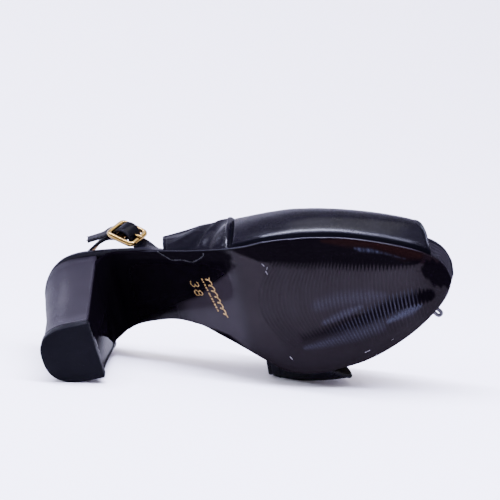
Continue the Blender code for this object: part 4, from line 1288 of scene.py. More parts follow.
# Upper: vamp and outer quarter of one soft black leather with a dark lining. The quarter is laid
# over the vamp with a folded, stitched edge, and its leather drapes in slanting folds.
Last = namedtuple("Last", "x lateral lateral_z medial medial_z ridge ridge_y")
LAST = [
    Last(66.0, 32.3, 73.0, 20.0, 66.0, 130.0, 0.0),
    Last(78.0, 33.2, 64.0, 22.0, 58.0, 121.0, 0.5),
    Last(90.0, 35.4, 56.5, 26.0, 48.0, 109.0, 1.0),
    Last(100.0, 37.8, 50.0, 32.0, 39.0, 98.0, 1.5),
    Last(112.0, 41.2, 42.0, 39.6, 29.0, 86.0, 2.0),
    Last(122.0, 43.6, 35.0, 43.6, 23.0, 77.0, 2.5),
    Last(133.0, 45.4, 29.5, 46.2, 19.5, 69.0, 3.0),
    Last(144.0, 46.2, 25.5, 47.6, 17.5, 62.5, 3.5),
    Last(154.0, 45.4, 23.5, 48.7, 17.0, 57.5, 4.0),
    Last(165.0, 43.4, 23.0, 49.3, 17.0, 53.5, 4.0),
    Last(175.0, 40.9, 23.0, 48.0, 17.5, 50.5, 4.0),
    Last(186.0, 37.6, 23.0, 45.0, 18.0, 47.5, 3.5),
    Last(196.0, 34.0, 23.5, 40.5, 19.0, 44.5, 3.0),
    Last(206.0, 29.7, 24.0, 34.5, 20.0, 41.5, 2.0),
    Last(214.0, 25.2, 24.5, 28.0, 21.0, 39.0, 1.0),
]
Edge = namedtuple("Edge", "c front seam proud")
EDGES = [
    Edge(-1.00, 211.6, 107.2, 0.3),
    Edge(-0.93, 212.2, 108.8, 0.9),
    Edge(-0.86, 212.5, 109.9, 1.2),
    Edge(-0.72, 211.2, 111.2, 1.2),
    Edge(-0.60, 209.4, 112.0, 1.1),
    Edge(-0.48, 206.0, 113.8, 1.0),
    Edge(-0.25, 196.6, 118.0, 0.7),
    Edge(0.00, 186.0, 118.0, 0.5),
    Edge(0.35, 167.0, 116.0, 0.3),
    Edge(0.55, 158.5, 116.0, 0.3),
    Edge(0.72, 160.5, 116.0, 0.3),
    Edge(0.88, 155.0, 116.0, 0.3),
    Edge(1.00, 148.0, 116.0, 0.3),
]
FEATHER_INSET = 0.7
FEATHER_GAP = 0.5
LEAST_RISE = 4.0
WALL_T = 2.0
WIDE_C = 0.72
BELLY = 1.8
CROWN_POWER = 2.3
QUARTER_END_X = 72.0
TOPLINE_Z = 72.0
TOPLINE_RISE = 0.05
MEDIAL_REAR_X = 116.0
FACING = 5.0
SEAM_BEHIND = 1.5
HEM_ROOM = 8.0
THROAT_LIMIT = 170.0
CORNER_LIMIT = -0.3
LINES = 181
FOOT_LINES = np.linspace(-1.0, -0.6, 60)
C_MM = 70.0
last = {name: curve(LAST, name) for name in Last._fields[1:]}
edges = {name: curve(EDGES, name) for name in Edge._fields[1:]}


def upper_point(x, c):
    """Point of the last's surface: c runs from the outer sole edge, -1, to the inner one, 1."""
    outer = c < 0
    sign = np.where(outer, -1.0, 1.0)
    foot = np.where(outer, sole_lateral(x), sole_medial(x)) - FEATHER_INSET
    foot_z = sole_top(x) + FEATHER_GAP
    wide = np.where(outer, last["lateral"](x), last["medial"](x))
    wide_z = np.maximum(np.where(outer, last["lateral_z"](x), last["medial_z"](x)), foot_z + LEAST_RISE)
    reach = np.abs(c)
    low = reach >= WIDE_C
    up = np.clip((1 - reach) / (1 - WIDE_C), 0.0, 1.0)
    low_y = sign * (foot + (wide - foot) * (1 - (1 - up) ** BELLY))
    low_z = foot_z + (wide_z - foot_z) * up
    angle = pi / 2 * np.clip(1 - reach / WIDE_C, 0.0, 1.0)
    out = np.clip(np.cos(angle), 0.0, 1.0) ** (2 / CROWN_POWER)
    rise = np.clip(np.sin(angle), 0.0, 1.0) ** (2 / CROWN_POWER)
    ridge_y = last["ridge_y"](x)
    high_y = ridge_y + (sign * wide - ridge_y) * out
    high_z = wide_z + (last["ridge"](x) - wide_z) * rise
    return np.stack((x + 0 * c, np.where(low, low_y, high_y), np.where(low, low_z, high_z)), axis=-1)


def upper_normal(x, c):
    dx = 0.4
    dc = 0.004
    along = upper_point(x + dx, c) - upper_point(x - dx, c)
    over = upper_point(x, np.minimum(c + dc, 1.0)) - upper_point(x, np.maximum(c - dc, -1.0))
    return unit(np.cross(along, over))


def solve(low, high, below):
    """Places between low and high where the test turns false."""
    for _ in range(40):
        middle = (low + high) / 2
        test = below(middle)
        low = np.where(test, middle, low)
        high = np.where(test, high, middle)
    return low


def topline(x):
    return TOPLINE_Z + TOPLINE_RISE * (x - QUARTER_END_X)


corner_c = float(solve(np.array(-WIDE_C), np.array(CORNER_LIMIT),
                       lambda c: upper_point(np.array(QUARTER_END_X), c)[..., 2] < TOPLINE_Z))
throat_x = float(solve(np.array(QUARTER_END_X), np.array(THROAT_LIMIT),
                       lambda x: upper_point(x, np.array(0.0))[..., 2] > topline(x)))


def rear_edge(c):
    """Back edge of the upper: blunt end of the quarter, its topline, then the inner side."""
    slant = solve(np.full_like(c, QUARTER_END_X), np.full_like(c, THROAT_LIMIT),
                  lambda x: upper_point(x, c)[..., 2] > topline(x))
    swing = (1 + np.cos(pi * np.minimum(c / WIDE_C, 1.0))) / 2
    inner = between((MEDIAL_REAR_X, throat_x), swing)
    return np.where(c <= corner_c, QUARTER_END_X, np.where(c < 0, slant, inner))


lines = np.unique(np.concatenate((np.linspace(-1.0, 1.0, LINES), FOOT_LINES, (corner_c,))))
NEAR_EDGE = np.array((0.0, 0.06, 0.16, 0.3, 0.5, 0.75, 1.05, 1.4, 1.8, 2.2, 2.6, 3.0, 3.5))
SEAM_STEPS = np.array((-2.6, -2.1, -1.7, -1.3, -0.9, -0.55, -0.25, -0.05,
                       0.15, 0.35, 0.6, 0.9, 1.3, 1.8, 2.4))
QUARTER_STEPS = 44
VAMP_STEPS = 100
rear = rear_edge(lines)
front = edges["front"](lines)
seam = np.maximum(edges["seam"](lines), rear + FACING + SEAM_BEHIND)
columns = []
for near in NEAR_EDGE:
    columns.append(rear + near * np.minimum((seam - rear) / HEM_ROOM, 1.0))
gap_start = columns[-1]
for share in np.linspace(0.0, 1.0, QUARTER_STEPS + 2)[1:-1]:
    columns.append(gap_start + (seam + SEAM_STEPS[0] - gap_start) * share)
for step in SEAM_STEPS:
    columns.append(seam + step)
gap_start = columns[-1]
for share in np.linspace(0.0, 1.0, VAMP_STEPS + 2)[1:-1]:
    columns.append(gap_start + (front - NEAR_EDGE[-1] - gap_start) * share)
for near in NEAR_EDGE[::-1]:
    columns.append(front - near)
grid_x = np.stack(columns, axis=1)
grid_c = np.repeat(lines[:, None], grid_x.shape[1], axis=1)

Fold = namedtuple("Fold", "x0 c0 x1 c1 width height")
FOLDS = [
    Fold(92.5, -0.98, 106.5, -0.60, 2.8, 1.15),
    Fold(89.0, -0.99, 102.5, -0.62, 2.2, -1.15),
    Fold(77.5, -0.90, 98.5, -0.62, 2.6, 0.75),
    Fold(74.5, -0.80, 92.0, -0.60, 2.4, -0.50),
    Fold(97.0, -0.96, 109.0, -0.68, 2.6, -0.45),
    Fold(100.5, -0.95, 110.0, -0.72, 2.6, 0.40),
    Fold(104.0, -0.95, 108.5, -0.84, 2.6, -0.45),
    Fold(118.0, -0.90, 132.0, -0.74, 5.0, 0.25),
    Fold(112.0, -0.80, 120.0, -0.60, 3.0, -0.25),
]
FOLD_BOW = 0.10
FOLD_STARTS = (-0.15, 0.3)
FOLD_ENDS = (0.75, 1.2)
HEM_ROLL = Ridge(0.30, 0.9, 0.7)
HEM_LINE = Ridge(-0.32, 2.2, 0.32)
SEAM_ROLL = Ridge(0.50, -0.75, 0.55)
SEAM_LINE = Ridge(-0.22, -2.1, 0.3)
SEAM_DITCH = Ridge(-1.45, 0.75, 0.95)
DITCH_STARTS = (-0.35, 0.25)
LASTING_ROLL = Ridge(0.45, -0.952, 0.042)
LASTING_STARTS = (2.0, 12.0)
LAID_OVER = (0.4, 1.0)
LAID_ENDS = (-0.15, 0.3)
OUTER_ENDS = (-0.35, 0.05)
WALL_ENDS = (0.965, 1.0)
EDGE_ROUND = 0.8


def fold_height(x, c):
    """Soft ridges and troughs that the leather's drape leaves on the quarter."""
    total = np.zeros_like(x)
    for fold in FOLDS:
        run = np.array((fold.x1 - fold.x0, (fold.c1 - fold.c0) * C_MM))
        length = np.hypot(*run)
        rel_x = x - fold.x0
        rel_c = (c - fold.c0) * C_MM
        along = (rel_x * run[0] + rel_c * run[1]) / length
        off = (rel_c * run[0] - rel_x * run[1]) / length
        bend = off - FOLD_BOW * along * (1 - along / length)
        ends = smooth(along / length, *FOLD_STARTS) * (1 - smooth(along / length, *FOLD_ENDS))
        total += ridge(bend, Ridge(fold.height, 0.0, fold.width)) * ends
    return total


def hem(distance):
    """A folded edge: a slight roll, then the pressed line that its stitches sit in."""
    return ridge(distance, HEM_ROLL) + ridge(distance, HEM_LINE)


def turned(distance, radius):
    """Drop of a rounded edge towards the edge itself."""
    inside = np.clip(1 - distance / radius, 0.0, 1.0)
    return radius * (1 - np.sqrt(1 - inside ** 2))


from_rear = grid_x - rear[:, None]
from_front = front[:, None] - grid_x
from_seam = grid_x - seam[:, None]
over_quarter = np.clip(from_rear / np.maximum(seam - rear, 1.0)[:, None], 0.0, 1.0)
laid_over = edges["proud"](grid_c) * between(LAID_OVER, over_quarter) * (1 - smooth(from_seam, *LAID_ENDS))
outer_side = 1 - smooth(grid_c, *OUTER_ENDS)
on_wall = 1 - smooth(np.abs(grid_c), *WALL_ENDS)
seam_relief = ridge(from_seam, SEAM_ROLL) + ridge(from_seam, SEAM_LINE)
seam_relief = seam_relief + ridge(from_seam, SEAM_DITCH) * smooth(from_seam, *DITCH_STARTS)
drape = seam_relief * outer_side + fold_height(grid_x, grid_c) + hem(from_rear) + hem(from_front)
lasting_roll = ridge(grid_c, LASTING_ROLL) * smooth(from_seam, *LASTING_STARTS)
relief = laid_over + drape * on_wall + lasting_roll
edge_drop = turned(from_rear, EDGE_ROUND) + turned(from_front, EDGE_ROUND)
surface = upper_point(grid_x, grid_c)
normals = upper_normal(grid_x, grid_c)
skin_out = surface + normals * (relief - edge_drop)[..., None]
skin_in = surface - normals * (WALL_T - edge_drop)[..., None]


def shell_faces(rows, count):
    """Faces of an open double wall: outer grid, inner grid, and the rim between them."""
    shift = rows * count
    quads = []
    for i in range(rows - 1):
        for j in range(count - 1):
            a = i * count + j
            quads.append((a, a + 1, a + count + 1, a + count))
    rim = [j for j in range(count)]
    rim += [i * count + count - 1 for i in range(1, rows)]
    rim += [(rows - 1) * count + j for j in range(count - 2, -1, -1)]
    rim += [i * count for i in range(rows - 2, 0, -1)]
    lining = [tuple(k + shift for k in quad[::-1]) for quad in quads]
    band = [(b, a, a + shift, b + shift) for a, b in zip(rim, rim[1:] + rim[:1])]
    return quads, lining, band


UPPER_BLACK = (0.0019, 0.0016, 0.0030)
UPPER_WORN = (0.0028, 0.0024, 0.0044)
LINING_DARK = (0.0090, 0.0080, 0.0080)
LINING_WORN = (0.0130, 0.0120, 0.0120)
# Painted light on the upper: painted shade in the recess at its foot, painted highlights and painted shade,
# set below.
RECESS_SHADE = Fade(0.960, 0.972, 0.93)
RECESS_SHADE_STARTS = (0.0, 4.0)
HIGH_SHINE = 0.22
HIGH_STARTS = (-0.82, -0.70)
BULGE_C = -0.955
BULGE_SHINE = 1.25
BULGE_HALVES = (0.030, 0.010)
BULGE_STARTS = (112.0, 126.0)
BULGE_ENDS = (160.0, 190.0)
HEM_SHINE = Ridge(1.0, 0.9, 0.55)
HEM_SHADE = Ridge(-0.85, 2.2, 0.45)
SEAM_SHADE = Ridge(0.97, 0.7, 0.75)
QUARTER_ENDS = (-0.5, 0.5)
DRAPE_LINE = [
    (91.2, -1.0),
    (93.0, -0.932),
    (96.2, -0.864),
    (104.0, -0.736),
    (109.8, -0.648),
]
DRAPE_SHADE = (0.30, 0.72)
DRAPE_STARTS = (-1.0, 1.4)
DRAPE_SHINE = [
    Patch(2.1, 0.9, [
        Stroke(99.0, -0.975, 1.0),
        Stroke(101.5, -0.932, 1.6),
        Stroke(106.0, -0.84, 1.9),
        Stroke(109.2, -0.736, 1.2),
    ]),
    Patch(0.65, 0.9, [
        Stroke(95.0, -0.935, 0.8),
        Stroke(97.0, -0.905, 1.2),
        Stroke(101.5, -0.804, 1.2),
    ]),
    Patch(4.0, 0.9, [
        Stroke(107.5, -0.892, 0.5),
        Stroke(108.0, -0.952, 0.6),
        Stroke(107.2, -0.99, 0.5),
    ]),
    Patch(0.7, 0.9, [
        Stroke(73.0, -0.73, 1.0),
        Stroke(80.0, -0.70, 1.3),
        Stroke(90.0, -0.675, 1.0),
    ]),
]
upper_leather = leather("upper_leather", UPPER_BLACK, UPPER_WORN, rough=0.22, gloss=0.105,
                        pebble=1050.0, soft=110.0, depth=0.38, with_painted_light=True)
dark_lining = leather("dark_lining", LINING_DARK, LINING_WORN, rough=0.55, gloss=0.05,
                      pebble=1100.0, soft=90.0, depth=0.35)
quads, lining, band = shell_faces(*grid_x.shape)
upper_mesh = make_mesh("upper_leather", np.concatenate((skin_out.reshape(-1, 3), skin_in.reshape(-1, 3))),
                       quads + lining + band, [upper_leather, dark_lining])
lined = np.zeros(len(upper_mesh.polygons), np.int32)
lined[len(quads):len(quads) + len(lining)] = 1
upper_mesh.polygons.foreach_set("material_index", lined)
# Painted light on the upper's gloss and colour: painted shade in the recess at the foot, brighter gloss
# higher up, a painted highlight along the bulge, a painted highlight and a painted shade line along the
# front edge, the quarter darker behind a fold line with painted highlights on its folds and a bright
# painted line beside the seam, and a painted dark band just in front of the seam.
upper_painted_light = 1 - (1 - dimmed(-grid_c, RECESS_SHADE)) * smooth(from_seam, *RECESS_SHADE_STARTS)
upper_painted_light = upper_painted_light * (1 + HIGH_SHINE * smooth(grid_c, *HIGH_STARTS))
bulge = ridge(grid_c, Ridge(BULGE_SHINE, BULGE_C, np.where(grid_c > BULGE_C, *BULGE_HALVES)))
bulge = bulge * smooth(grid_x, *BULGE_STARTS) * (1 - smooth(grid_x, *BULGE_ENDS))
hem_shine = ridge(from_front, HEM_SHINE) + ridge(from_front, HEM_SHADE)
upper_painted_light = upper_painted_light * (1 + bulge) * (1 + hem_shine * outer_side)
drape_x, drape_c = np.array(DRAPE_LINE).T
quarter_painted_light = between(DRAPE_SHADE, smooth(grid_x - np.interp(grid_c, drape_c, drape_x), *DRAPE_STARTS))
for patch in DRAPE_SHINE:
    strokes = [Stroke(stroke.x, stroke.y * C_MM, stroke.half) for stroke in patch.strokes]
    mask = stroke_mask(grid_x, grid_c * C_MM, patch._replace(strokes=strokes))
    quarter_painted_light = quarter_painted_light + patch.strength * mask
quarter_side = (1 - smooth(from_seam, *QUARTER_ENDS)) * outer_side
upper_painted_light = upper_painted_light * (1 + quarter_side * (quarter_painted_light - 1))
upper_painted_light = upper_painted_light * (1 - ridge(from_seam, SEAM_SHADE) * outer_side)
note(upper_mesh, "painted_light", np.concatenate((upper_painted_light.reshape(-1), np.ones(upper_painted_light.size))))
place("upper_leather", upper_mesh, "black_leather", "upper")


# Upper stitching: rows of waxed black thread along the folded edges of quarter and vamp and along
# the seam between them. The stitches sit in lines that are pressed into the leather.
STITCH_PITCH = 2.1
STITCH_LENGTH = 1.65
STITCH_THICK = 0.42
REAR_STITCHED = (-0.97, 0.66)
FRONT_STITCHED = (-0.965, 0.965)
SEAM_STITCHED = (-0.965, -0.15)
THREAD_MEAN = (0.010, 0.010, 0.014)
THREAD_BLACK = (0.0014, 0.0013, 0.0020)
THREAD_PALE = (0.0050, 0.0046, 0.0066)


def stitch_tree():
    """Lays a row of short threads along the lines of a mesh."""
    tree, start, sockets = shape_tree("stitch_row", ("Pitch", "Length", "Thickness"))
    line = add_node(tree, "GeometryNodeMeshToCurve", mesh=start.outputs["Geometry"])
    spots = tree.nodes.new("GeometryNodeCurveToPoints")
    spots.mode = "LENGTH"
    tree.links.new(line.outputs["Curve"], spots.inputs["Curve"])
    tree.links.new(start.outputs["Pitch"], spots.inputs["Length"])
    bead = add_node(tree, "GeometryNodeMeshIcoSphere", radius=0.5, subdivisions=2)
    shape = add_node(tree, "ShaderNodeCombineXYZ", x=start.outputs["Thickness"],
                     y=start.outputs["Thickness"], z=start.outputs["Length"])
    put = add_node(tree, "GeometryNodeInstanceOnPoints", points=spots.outputs["Points"],
                   instance=bead.outputs["Mesh"], rotation=spots.outputs["Rotation"],
                   scale=shape.outputs["Vector"])
    end_tree(tree, start, put.outputs["Instances"])
    return tree, sockets


def waxed_thread():
    made, tree, shader, spot = new_material("waxed_thread", THREAD_MEAN, 0.5, specular=0.03)
    twist = noise(tree, spot, scale=5200.0, detail=2.0)
    colour_by(tree, shader, twist, THREAD_BLACK, THREAD_PALE)
    bump(tree, shader, twist, 0.4, 0.0001)
    return made


stitch_nodes, stitch_sockets = stitch_tree()
thread = waxed_thread()


def stitched(name, paths):
    """One mesh of stitches along several paths on the shoe."""
    points = []
    links = []
    for way in paths:
        first = len(points)
        points += lay(way).tolist()
        links += [(first + k, first + k + 1) for k in range(len(way) - 1)]
    mesh = bpy.data.meshes.new(name)
    mesh.from_pydata(points, links, [])
    sizes = (STITCH_PITCH * MM, STITCH_LENGTH * MM, STITCH_THICK * MM, thread)
    made = grown(name, mesh, stitch_nodes, zip(stitch_sockets, sizes))
    made.polygons.foreach_set("use_smooth", [True] * len(made.polygons))
    place(name, made, "black_leather")


hem_column = int(np.argmin(np.abs(NEAR_EDGE - HEM_LINE.middle)))
seam_column = len(NEAR_EDGE) + QUARTER_STEPS + int(np.argmin(np.abs(SEAM_STEPS - SEAM_LINE.middle)))
stitched("upper_stitches", [skin_out[(lines > low) & (lines < high), column]
                            for (low, high), column in ((REAR_STITCHED, hem_column),
                                                        (FRONT_STITCHED, -1 - hem_column),
                                                        (SEAM_STITCHED, seam_column))])


# Slingback strap: two lined ribbons of the same leather. The front one comes from the quarter
# and weaves through the buckle; the back one folds round its centre bar and circles the heel.
Strap = namedtuple("Strap", "x y z roll")
BACK_STRAP = [
    Strap(39.5, -36.0, 82.0, 0.0),
    Strap(34.0, -33.0, 85.0, -10.0),
    Strap(29.0, -28.2, 90.0, -20.0),
    Strap(22.4, -21.6, 98.0, -20.0),
    Strap(14.0, -12.8, 105.5, -8.0),
    Strap(9.0, -2.5, 109.0, 0.0),
    Strap(11.0, 8.5, 106.5, 0.0),
    Strap(17.0, 15.6, 99.0, 0.0),
    Strap(24.0, 18.6, 90.5, 0.0),
    Strap(31.0, 19.2, 82.0, 0.0),
    Strap(38.0, 18.4, 73.5, 0.0),
]
FRONT_STRAP = [
    Strap(84.0, -28.4, 55.6, 0.0),
    Strap(77.5, -27.8, 59.9, 0.0),
    Strap(71.0, -27.0, 64.0, -8.0),
    Strap(65.8, -28.4, 67.4, -10.0),
]
TAIL_STRAP = [
    Strap(39.2, -38.1, 82.4, 2.0),
    Strap(34.4, -37.5, 82.3, 0.0),
    Strap(29.4, -37.0, 82.2, 0.0),
]
STRAP_W = 10.0
STRAP_T = 1.5
STRAP_PARTS = 9
BAR_R = 1.2
BAR_HALF = 8.2
BUCKLE_CENTRE = np.array((52.4, -37.4, 78.0))
ALONG = unit((-0.757, -0.42, 0.50))
buckle_across = np.array((0.60, -0.15, 0.785))
OVER = unit(buckle_across - ALONG * (buckle_across @ ALONG))
OUT = np.cross(ALONG, OVER)
OUT = OUT * -np.sign(OUT[1])
LOOP_R = BAR_R + GAP + STRAP_T / 2
OVER_LOOP = LOOP_R + STRAP_T + GAP
Weave = namedtuple("Weave", "along out")
WEAVE = [
    Weave(BAR_HALF + 2.4, -LOOP_R - 0.5),
    Weave(BAR_HALF, -LOOP_R - 0.1),
    Weave(BAR_HALF * 0.77, -LOOP_R * 0.78),
    Weave(BAR_HALF * 0.62, 0.3),
    Weave(BAR_HALF * 0.48, OVER_LOOP * 0.62),
    Weave(BAR_HALF * 0.26, OVER_LOOP * 0.94),
    Weave(0.0, OVER_LOOP + 0.15),
]
TAIL_TURN = (0.1, 0.3, 0.6, 0.9)
STRAP_END_X = 33.0
RIBBON_EDGE = np.radians((22.5, 45.0, 67.5, 90.0))
RIBBON_ROUND = 0.9
RIBBON_DOME = 0.12
LINING_IN = 0.3
LINING_LIP = 0.25
FOOTBED_T = 3.4


def in_buckle(along, out, across=0.0):
    return BUCKLE_CENTRE + ALONG * along + OUT * out + OVER * across


def upright(rows):
    """Direction across a strap on edge, tipped by its roll towards the ground."""
    places = np.array([row[:3] for row in rows])
    result = []
    for i, row in enumerate(rows):
        tangent = unit(places[min(i + 1, len(rows) - 1)] - places[max(i - 1, 0)])
        over = unit(np.array((0.0, 0.0, 1.0)) - tangent * tangent[2])
        turn = radians(row.roll)
        result.append(over * cos(turn) - np.cross(tangent, over) * sin(turn))
    return result


def ribbon_frames(middle, across):
    """Places, width and face directions along a strap."""
    ahead = np.vstack((middle[1:], middle[-1:]))
    behind = np.vstack((middle[:1], middle[:-1]))
    tangent = unit(ahead - behind)
    over = unit(across - tangent * np.sum(across * tangent, axis=1, keepdims=True))
    return middle, over, np.cross(tangent, over)


def ribbon(frames):
    """Strap body: slightly domed outside, flat lining inside, rounded painted edges."""
    middle, over, face = frames
    half_w = STRAP_W / 2
    half_t = STRAP_T / 2
    round_r = half_t * RIBBON_ROUND
    flat_w = half_w - round_r
    edge = [(flat_w + round_r * sin(t), -half_t + round_r * (1 - cos(t))) for t in RIBBON_EDGE]
    edge += [(half_w, half_t - LINING_LIP), (half_w - LINING_IN, half_t)]
    section = [(w * flat_w, -half_t - RIBBON_DOME * (1 - w * w)) for w in np.linspace(-1, 1, 9)] + edge
    section += [(w * half_w, half_t) for w in np.linspace(0.8, -0.8, 5)]
    section += [(-w, t) for w, t in edge[::-1]]
    section = np.array(section)
    return middle[:, None] + over[:, None] * section[None, :, :1] + face[:, None] * section[None, :, 1:]


inside = [in_buckle(-row.along, row.out) for row in WEAVE]
inside += [in_buckle(row.along, row.out) for row in WEAVE[-2::-1]]
front_places = [row[:3] for row in FRONT_STRAP] + inside + [row[:3] for row in TAIL_STRAP]
tail_across = upright(TAIL_STRAP)
front_across = upright(FRONT_STRAP) + [OVER] * (len(inside) - len(TAIL_TURN))
front_across += [unit(OVER * (1 - share) + tail_across[0] * share) for share in TAIL_TURN] + tail_across
front_frames = ribbon_frames(spline(front_places, STRAP_PARTS), spline(front_across, STRAP_PARTS))
LOOP_TURN = (-10.0, 270.0)
LOOP_STEPS = 9
Leave = namedtuple("Leave", "along drop across")
LOOP_LEAVES = [Leave(0.55, 1.4, 0.0), Leave(1.1, 2.8, -1.2)]
loop = []
for share in np.linspace(0.0, 1.0, LOOP_STEPS):
    turn = radians(between(LOOP_TURN, share))
    loop.append(in_buckle(LOOP_R * cos(turn), LOOP_R * sin(turn)))
for leave in LOOP_LEAVES:
    loop.append(in_buckle(BAR_HALF * leave.along, -LOOP_R - leave.drop, leave.across))
back_places = loop + [row[:3] for row in BACK_STRAP]
back_across = [OVER] * len(loop) + upright(BACK_STRAP)
back_frames = ribbon_frames(spline(back_places, STRAP_PARTS), spline(back_across, STRAP_PARTS))
STRAP_BLACK = (0.0013, 0.0012, 0.0022)
STRAP_WORN = (0.0020, 0.0019, 0.0032)
LINED_SIDES = range(14, 20)
strap_leather = leather("strap_leather", STRAP_BLACK, STRAP_WORN, rough=0.20, gloss=0.110,
                        pebble=1500.0, soft=140.0, depth=0.14)


def cut_at_seat(mesh):
    """Ends a strap on the insole board, where it is caught between board and heel seat."""
    over = FOOTBED_T * stretch(fillet_x) + GAP
    slope = (seat_line(STRAP_END_X + 1.0) - seat_line(STRAP_END_X - 1.0)) / 2
    form = bmesh.new()
    form.from_mesh(mesh)
    cut = bmesh.ops.bisect_plane(form, geom=form.verts[:] + form.edges[:] + form.faces[:], clear_inner=True,
                                 plane_co=lay((STRAP_END_X, 0.0, seat_line(STRAP_END_X) + over)).tolist(),
                                 plane_no=(LIE @ unit((-slope, 0.0, 1.0))).tolist())
    rim = [part for part in cut["geom_cut"] if isinstance(part, bmesh.types.BMEdge)]
    bmesh.ops.holes_fill(form, edges=rim)
    form.to_mesh(mesh)
    form.free()


for name, node, frames in (("sling_front_strap", "sling_front", front_frames),
                           ("sling_back_strap", "sling_back", back_frames)):
    body = ribbon(frames)
    strap_mesh = ring_mesh(name, body, [strap_leather, tan_lining])
    side = np.zeros(len(strap_mesh.polygons), np.int32)
    side[2:] = np.isin(np.arange(len(side) - 2) % body.shape[1], LINED_SIDES)
    strap_mesh.polygons.foreach_set("material_index", side)
    if node == "sling_back":
        cut_at_seat(strap_mesh)
    place(name, strap_mesh, "black_leather", node)
STRAP_STITCH_IN = 1.25
STRAP_STITCH_OUT = 0.02
BACK_STITCHED = slice(10 * STRAP_PARTS, -2 * STRAP_PARTS)
strap_rows = []
for middle, over, face in (front_frames, [part[BACK_STITCHED] for part in back_frames]):
    proud = face * (STRAP_T / 2 + STRAP_STITCH_OUT)
    for edge_side in (-1, 1):
        strap_rows.append(middle + over * edge_side * (STRAP_W / 2 - STRAP_STITCH_IN) - proud)
stitched("strap_stitches", strap_rows)


# Buckle: a cast frame with a centre bar, and a prong that hooks round the bar and rests on the
# frame's front bar. Both are polished and plated in a thin layer of gold.
def plated(name, colour, dull, rough):
    """Polished plating: slow dull patches, and hair lines as relief."""
    made, tree, shader, spot = new_material(name, colour, rough, metal=1.0)
    slow = noise(tree, spot, scale=160.0, detail=4.0)
    colour_by(tree, shader, ramp(tree, slow, (0.42, 0.68)), colour, dull)
    tree.links.new(ramp(tree, slow, (0.35, 0.7), (rough - 0.07, rough + 0.1)), shader.inputs["Roughness"])
    hair = noise(tree, spot, scale=1600.0, detail=2.0)
    bump(tree, shader, hair, 0.12, 0.00005)
    return made


GOLD = (0.25, 0.165, 0.050)
GOLD_DULL = (0.16, 0.098, 0.026)
gold = plated("gilt_metal", GOLD, GOLD_DULL, rough=0.20)
for name, node, swell in (("buckle_frame_gilt", "buckle_frame", 0.42),
                          ("buckle_prong_gilt", "buckle_prong", 0.14)):
    place(name, refined(node, name, gold, 2, swell), "gilt_metal", node)


# Toe trim: a small loop of bent wire, plated in dark nickel, at the side of the platform beside
# the toe. Its ends are fixed to the platform's edge.
NICKEL = (0.065, 0.062, 0.070)
NICKEL_DULL = (0.024, 0.023, 0.027)
WIRE_SWELL = 0.62
nickel = plated("nickel_metal", NICKEL, NICKEL_DULL, rough=0.28)
place("toe_wire", refined("toe_trim", "toe_wire", nickel, 2, WIRE_SWELL), "nickel_metal", "toe_trim")


# Studio: one sweep of pale paper under and behind the shoe, soft light from above and one side,
# and a dim side towards the camera.
SWEEP_HALF = 3.0
SWEEP_FRONT = -2.5
SWEEP_BACK = 1.2
SWEEP_R = 0.9
SWEEP_TOP = 2.6
SWEEP_STEPS = 25
PAPER = (0.93, 0.90, 0.95)
PAPER_LOW = (0.925, 0.895, 0.945)
PAPER_HIGH = (0.94, 0.91, 0.96)


def studio_paper():
    made, tree, shader, spot = new_material("studio_paper", PAPER, 0.9, specular=0.0)
    colour_by(tree, shader, noise(tree, spot, scale=3.0, detail=2.0), PAPER_LOW, PAPER_HIGH)
    return made


profile = [(SWEEP_FRONT, 0.0), (SWEEP_BACK - SWEEP_R, 0.0)]
for turn in np.linspace(0.0, pi / 2, SWEEP_STEPS)[1:]:
    profile.append((SWEEP_BACK - SWEEP_R + SWEEP_R * sin(turn), SWEEP_R * (1 - cos(turn))))
profile.append((SWEEP_BACK, SWEEP_TOP))
sweep_points = [(side * SWEEP_HALF, y, z) for y, z in profile for side in (-1, 1)]
sweep_faces = [(2 * i, 2 * i + 1, 2 * i + 3, 2 * i + 2) for i in range(len(profile) - 1)]
sweep_mesh = bpy.data.meshes.new("studio_sweep")
sweep_mesh.from_pydata(sweep_points, [], sweep_faces)
sweep_mesh.polygons.foreach_set("use_smooth", [True] * len(sweep_mesh.polygons))
sweep_mesh.materials.append(studio_paper())
sweep = bring_in("studio_sweep", sweep_mesh)

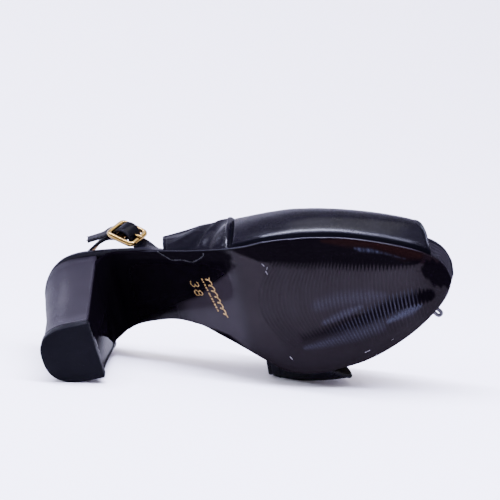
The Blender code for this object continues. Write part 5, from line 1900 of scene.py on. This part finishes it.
AIR_DIM = (0.04, 0.03, 0.04)
AIR_LIT = (0.98, 0.93, 1.08)
AIR_STRENGTH = 1.4
DIM_FRONT = (-0.95, -0.25)
LIT_ABOVE = (0.6, 0.9)
world = bpy.context.scene.world or bpy.data.worlds.new("studio_air")
bpy.context.scene.world = world
world.use_nodes = True
air = world.node_tree
sky = air.nodes["Background"]
way = air.nodes.new("ShaderNodeTexCoord")
parts = air.nodes.new("ShaderNodeSeparateXYZ")
air.links.new(way.outputs["Generated"], parts.inputs[0])
lit = math_node(air, "MAXIMUM", ramp(air, parts.outputs["Y"], DIM_FRONT),
                ramp(air, parts.outputs["Z"], LIT_ABOVE))
air.links.new(mix_colour(air, lit, AIR_DIM, AIR_LIT), sky.inputs["Color"])
sky.inputs["Strength"].default_value = AIR_STRENGTH

Light = namedtuple("Light", "name at aim along size power colour")
LIGHTS = [
    Light("strip_above", (0.06, -0.17, 1.3), (0.06, -0.10, 0.0), (0.93, -0.36, 0.0),
          (2.4, 0.12), 140.0, (0.68, 0.70, 1.0)),
    Light("back_wash", (0.0, 0.25, 2.4), (0.0, 0.7, 0.0), (1.0, 0.0, 0.0),
          (2.6, 1.0), 50.0, (1.0, 1.0, 1.0)),
    Light("side_left", (-1.3, -0.25, 0.7), (0.0, 0.0, 0.05), (0.0, 1.0, 0.0),
          (0.5, 0.4), 14.0, (0.76, 0.85, 1.0)),
]


def stand(name, data, at, right, back):
    """Puts a light or camera at a place, with its right side and its back turned as given."""
    turn = Matrix(np.column_stack((right, np.cross(back, right), back)).tolist()).to_4x4()
    turn.translation = at
    made = bring_in(name, data)
    made.matrix_world = turn
    return made


for light in LIGHTS:
    box = bpy.data.lights.new(light.name, "AREA")
    box.shape = "RECTANGLE"
    box.size, box.size_y = light.size
    box.energy = light.power
    box.color = light.colour
    back = unit(np.array(light.at) - np.array(light.aim))
    right = unit(np.array(light.along) - back * (np.array(light.along) @ back))
    stand(light.name, box, light.at, right, back)


# Camera: where the photograph was taken from, worked out by fitting the shoe's outline to it. It
# looks at the sole from below through a long lens.
CAMERA_AT = (119.1, -231.9, -635.5)
CAMERA_RIGHT = unit((0.9816, 0.1825, -0.0558))
CAMERA_LOOK = unit((0.0, 0.2924, 0.9563))
CAMERA_LENS = 93.74
CAMERA_SENSOR = 36.0
CAMERA_NEAR = 0.01
look = LIE @ CAMERA_LOOK
right = LIE @ CAMERA_RIGHT
right = unit(right - look * (right @ look))
camera_data = bpy.data.cameras.new("camera")
camera_data.lens = CAMERA_LENS
camera_data.sensor_width = CAMERA_SENSOR
camera_data.clip_start = CAMERA_NEAR
bpy.context.scene.camera = stand("camera", camera_data, lay(CAMERA_AT).tolist(), right, -look)
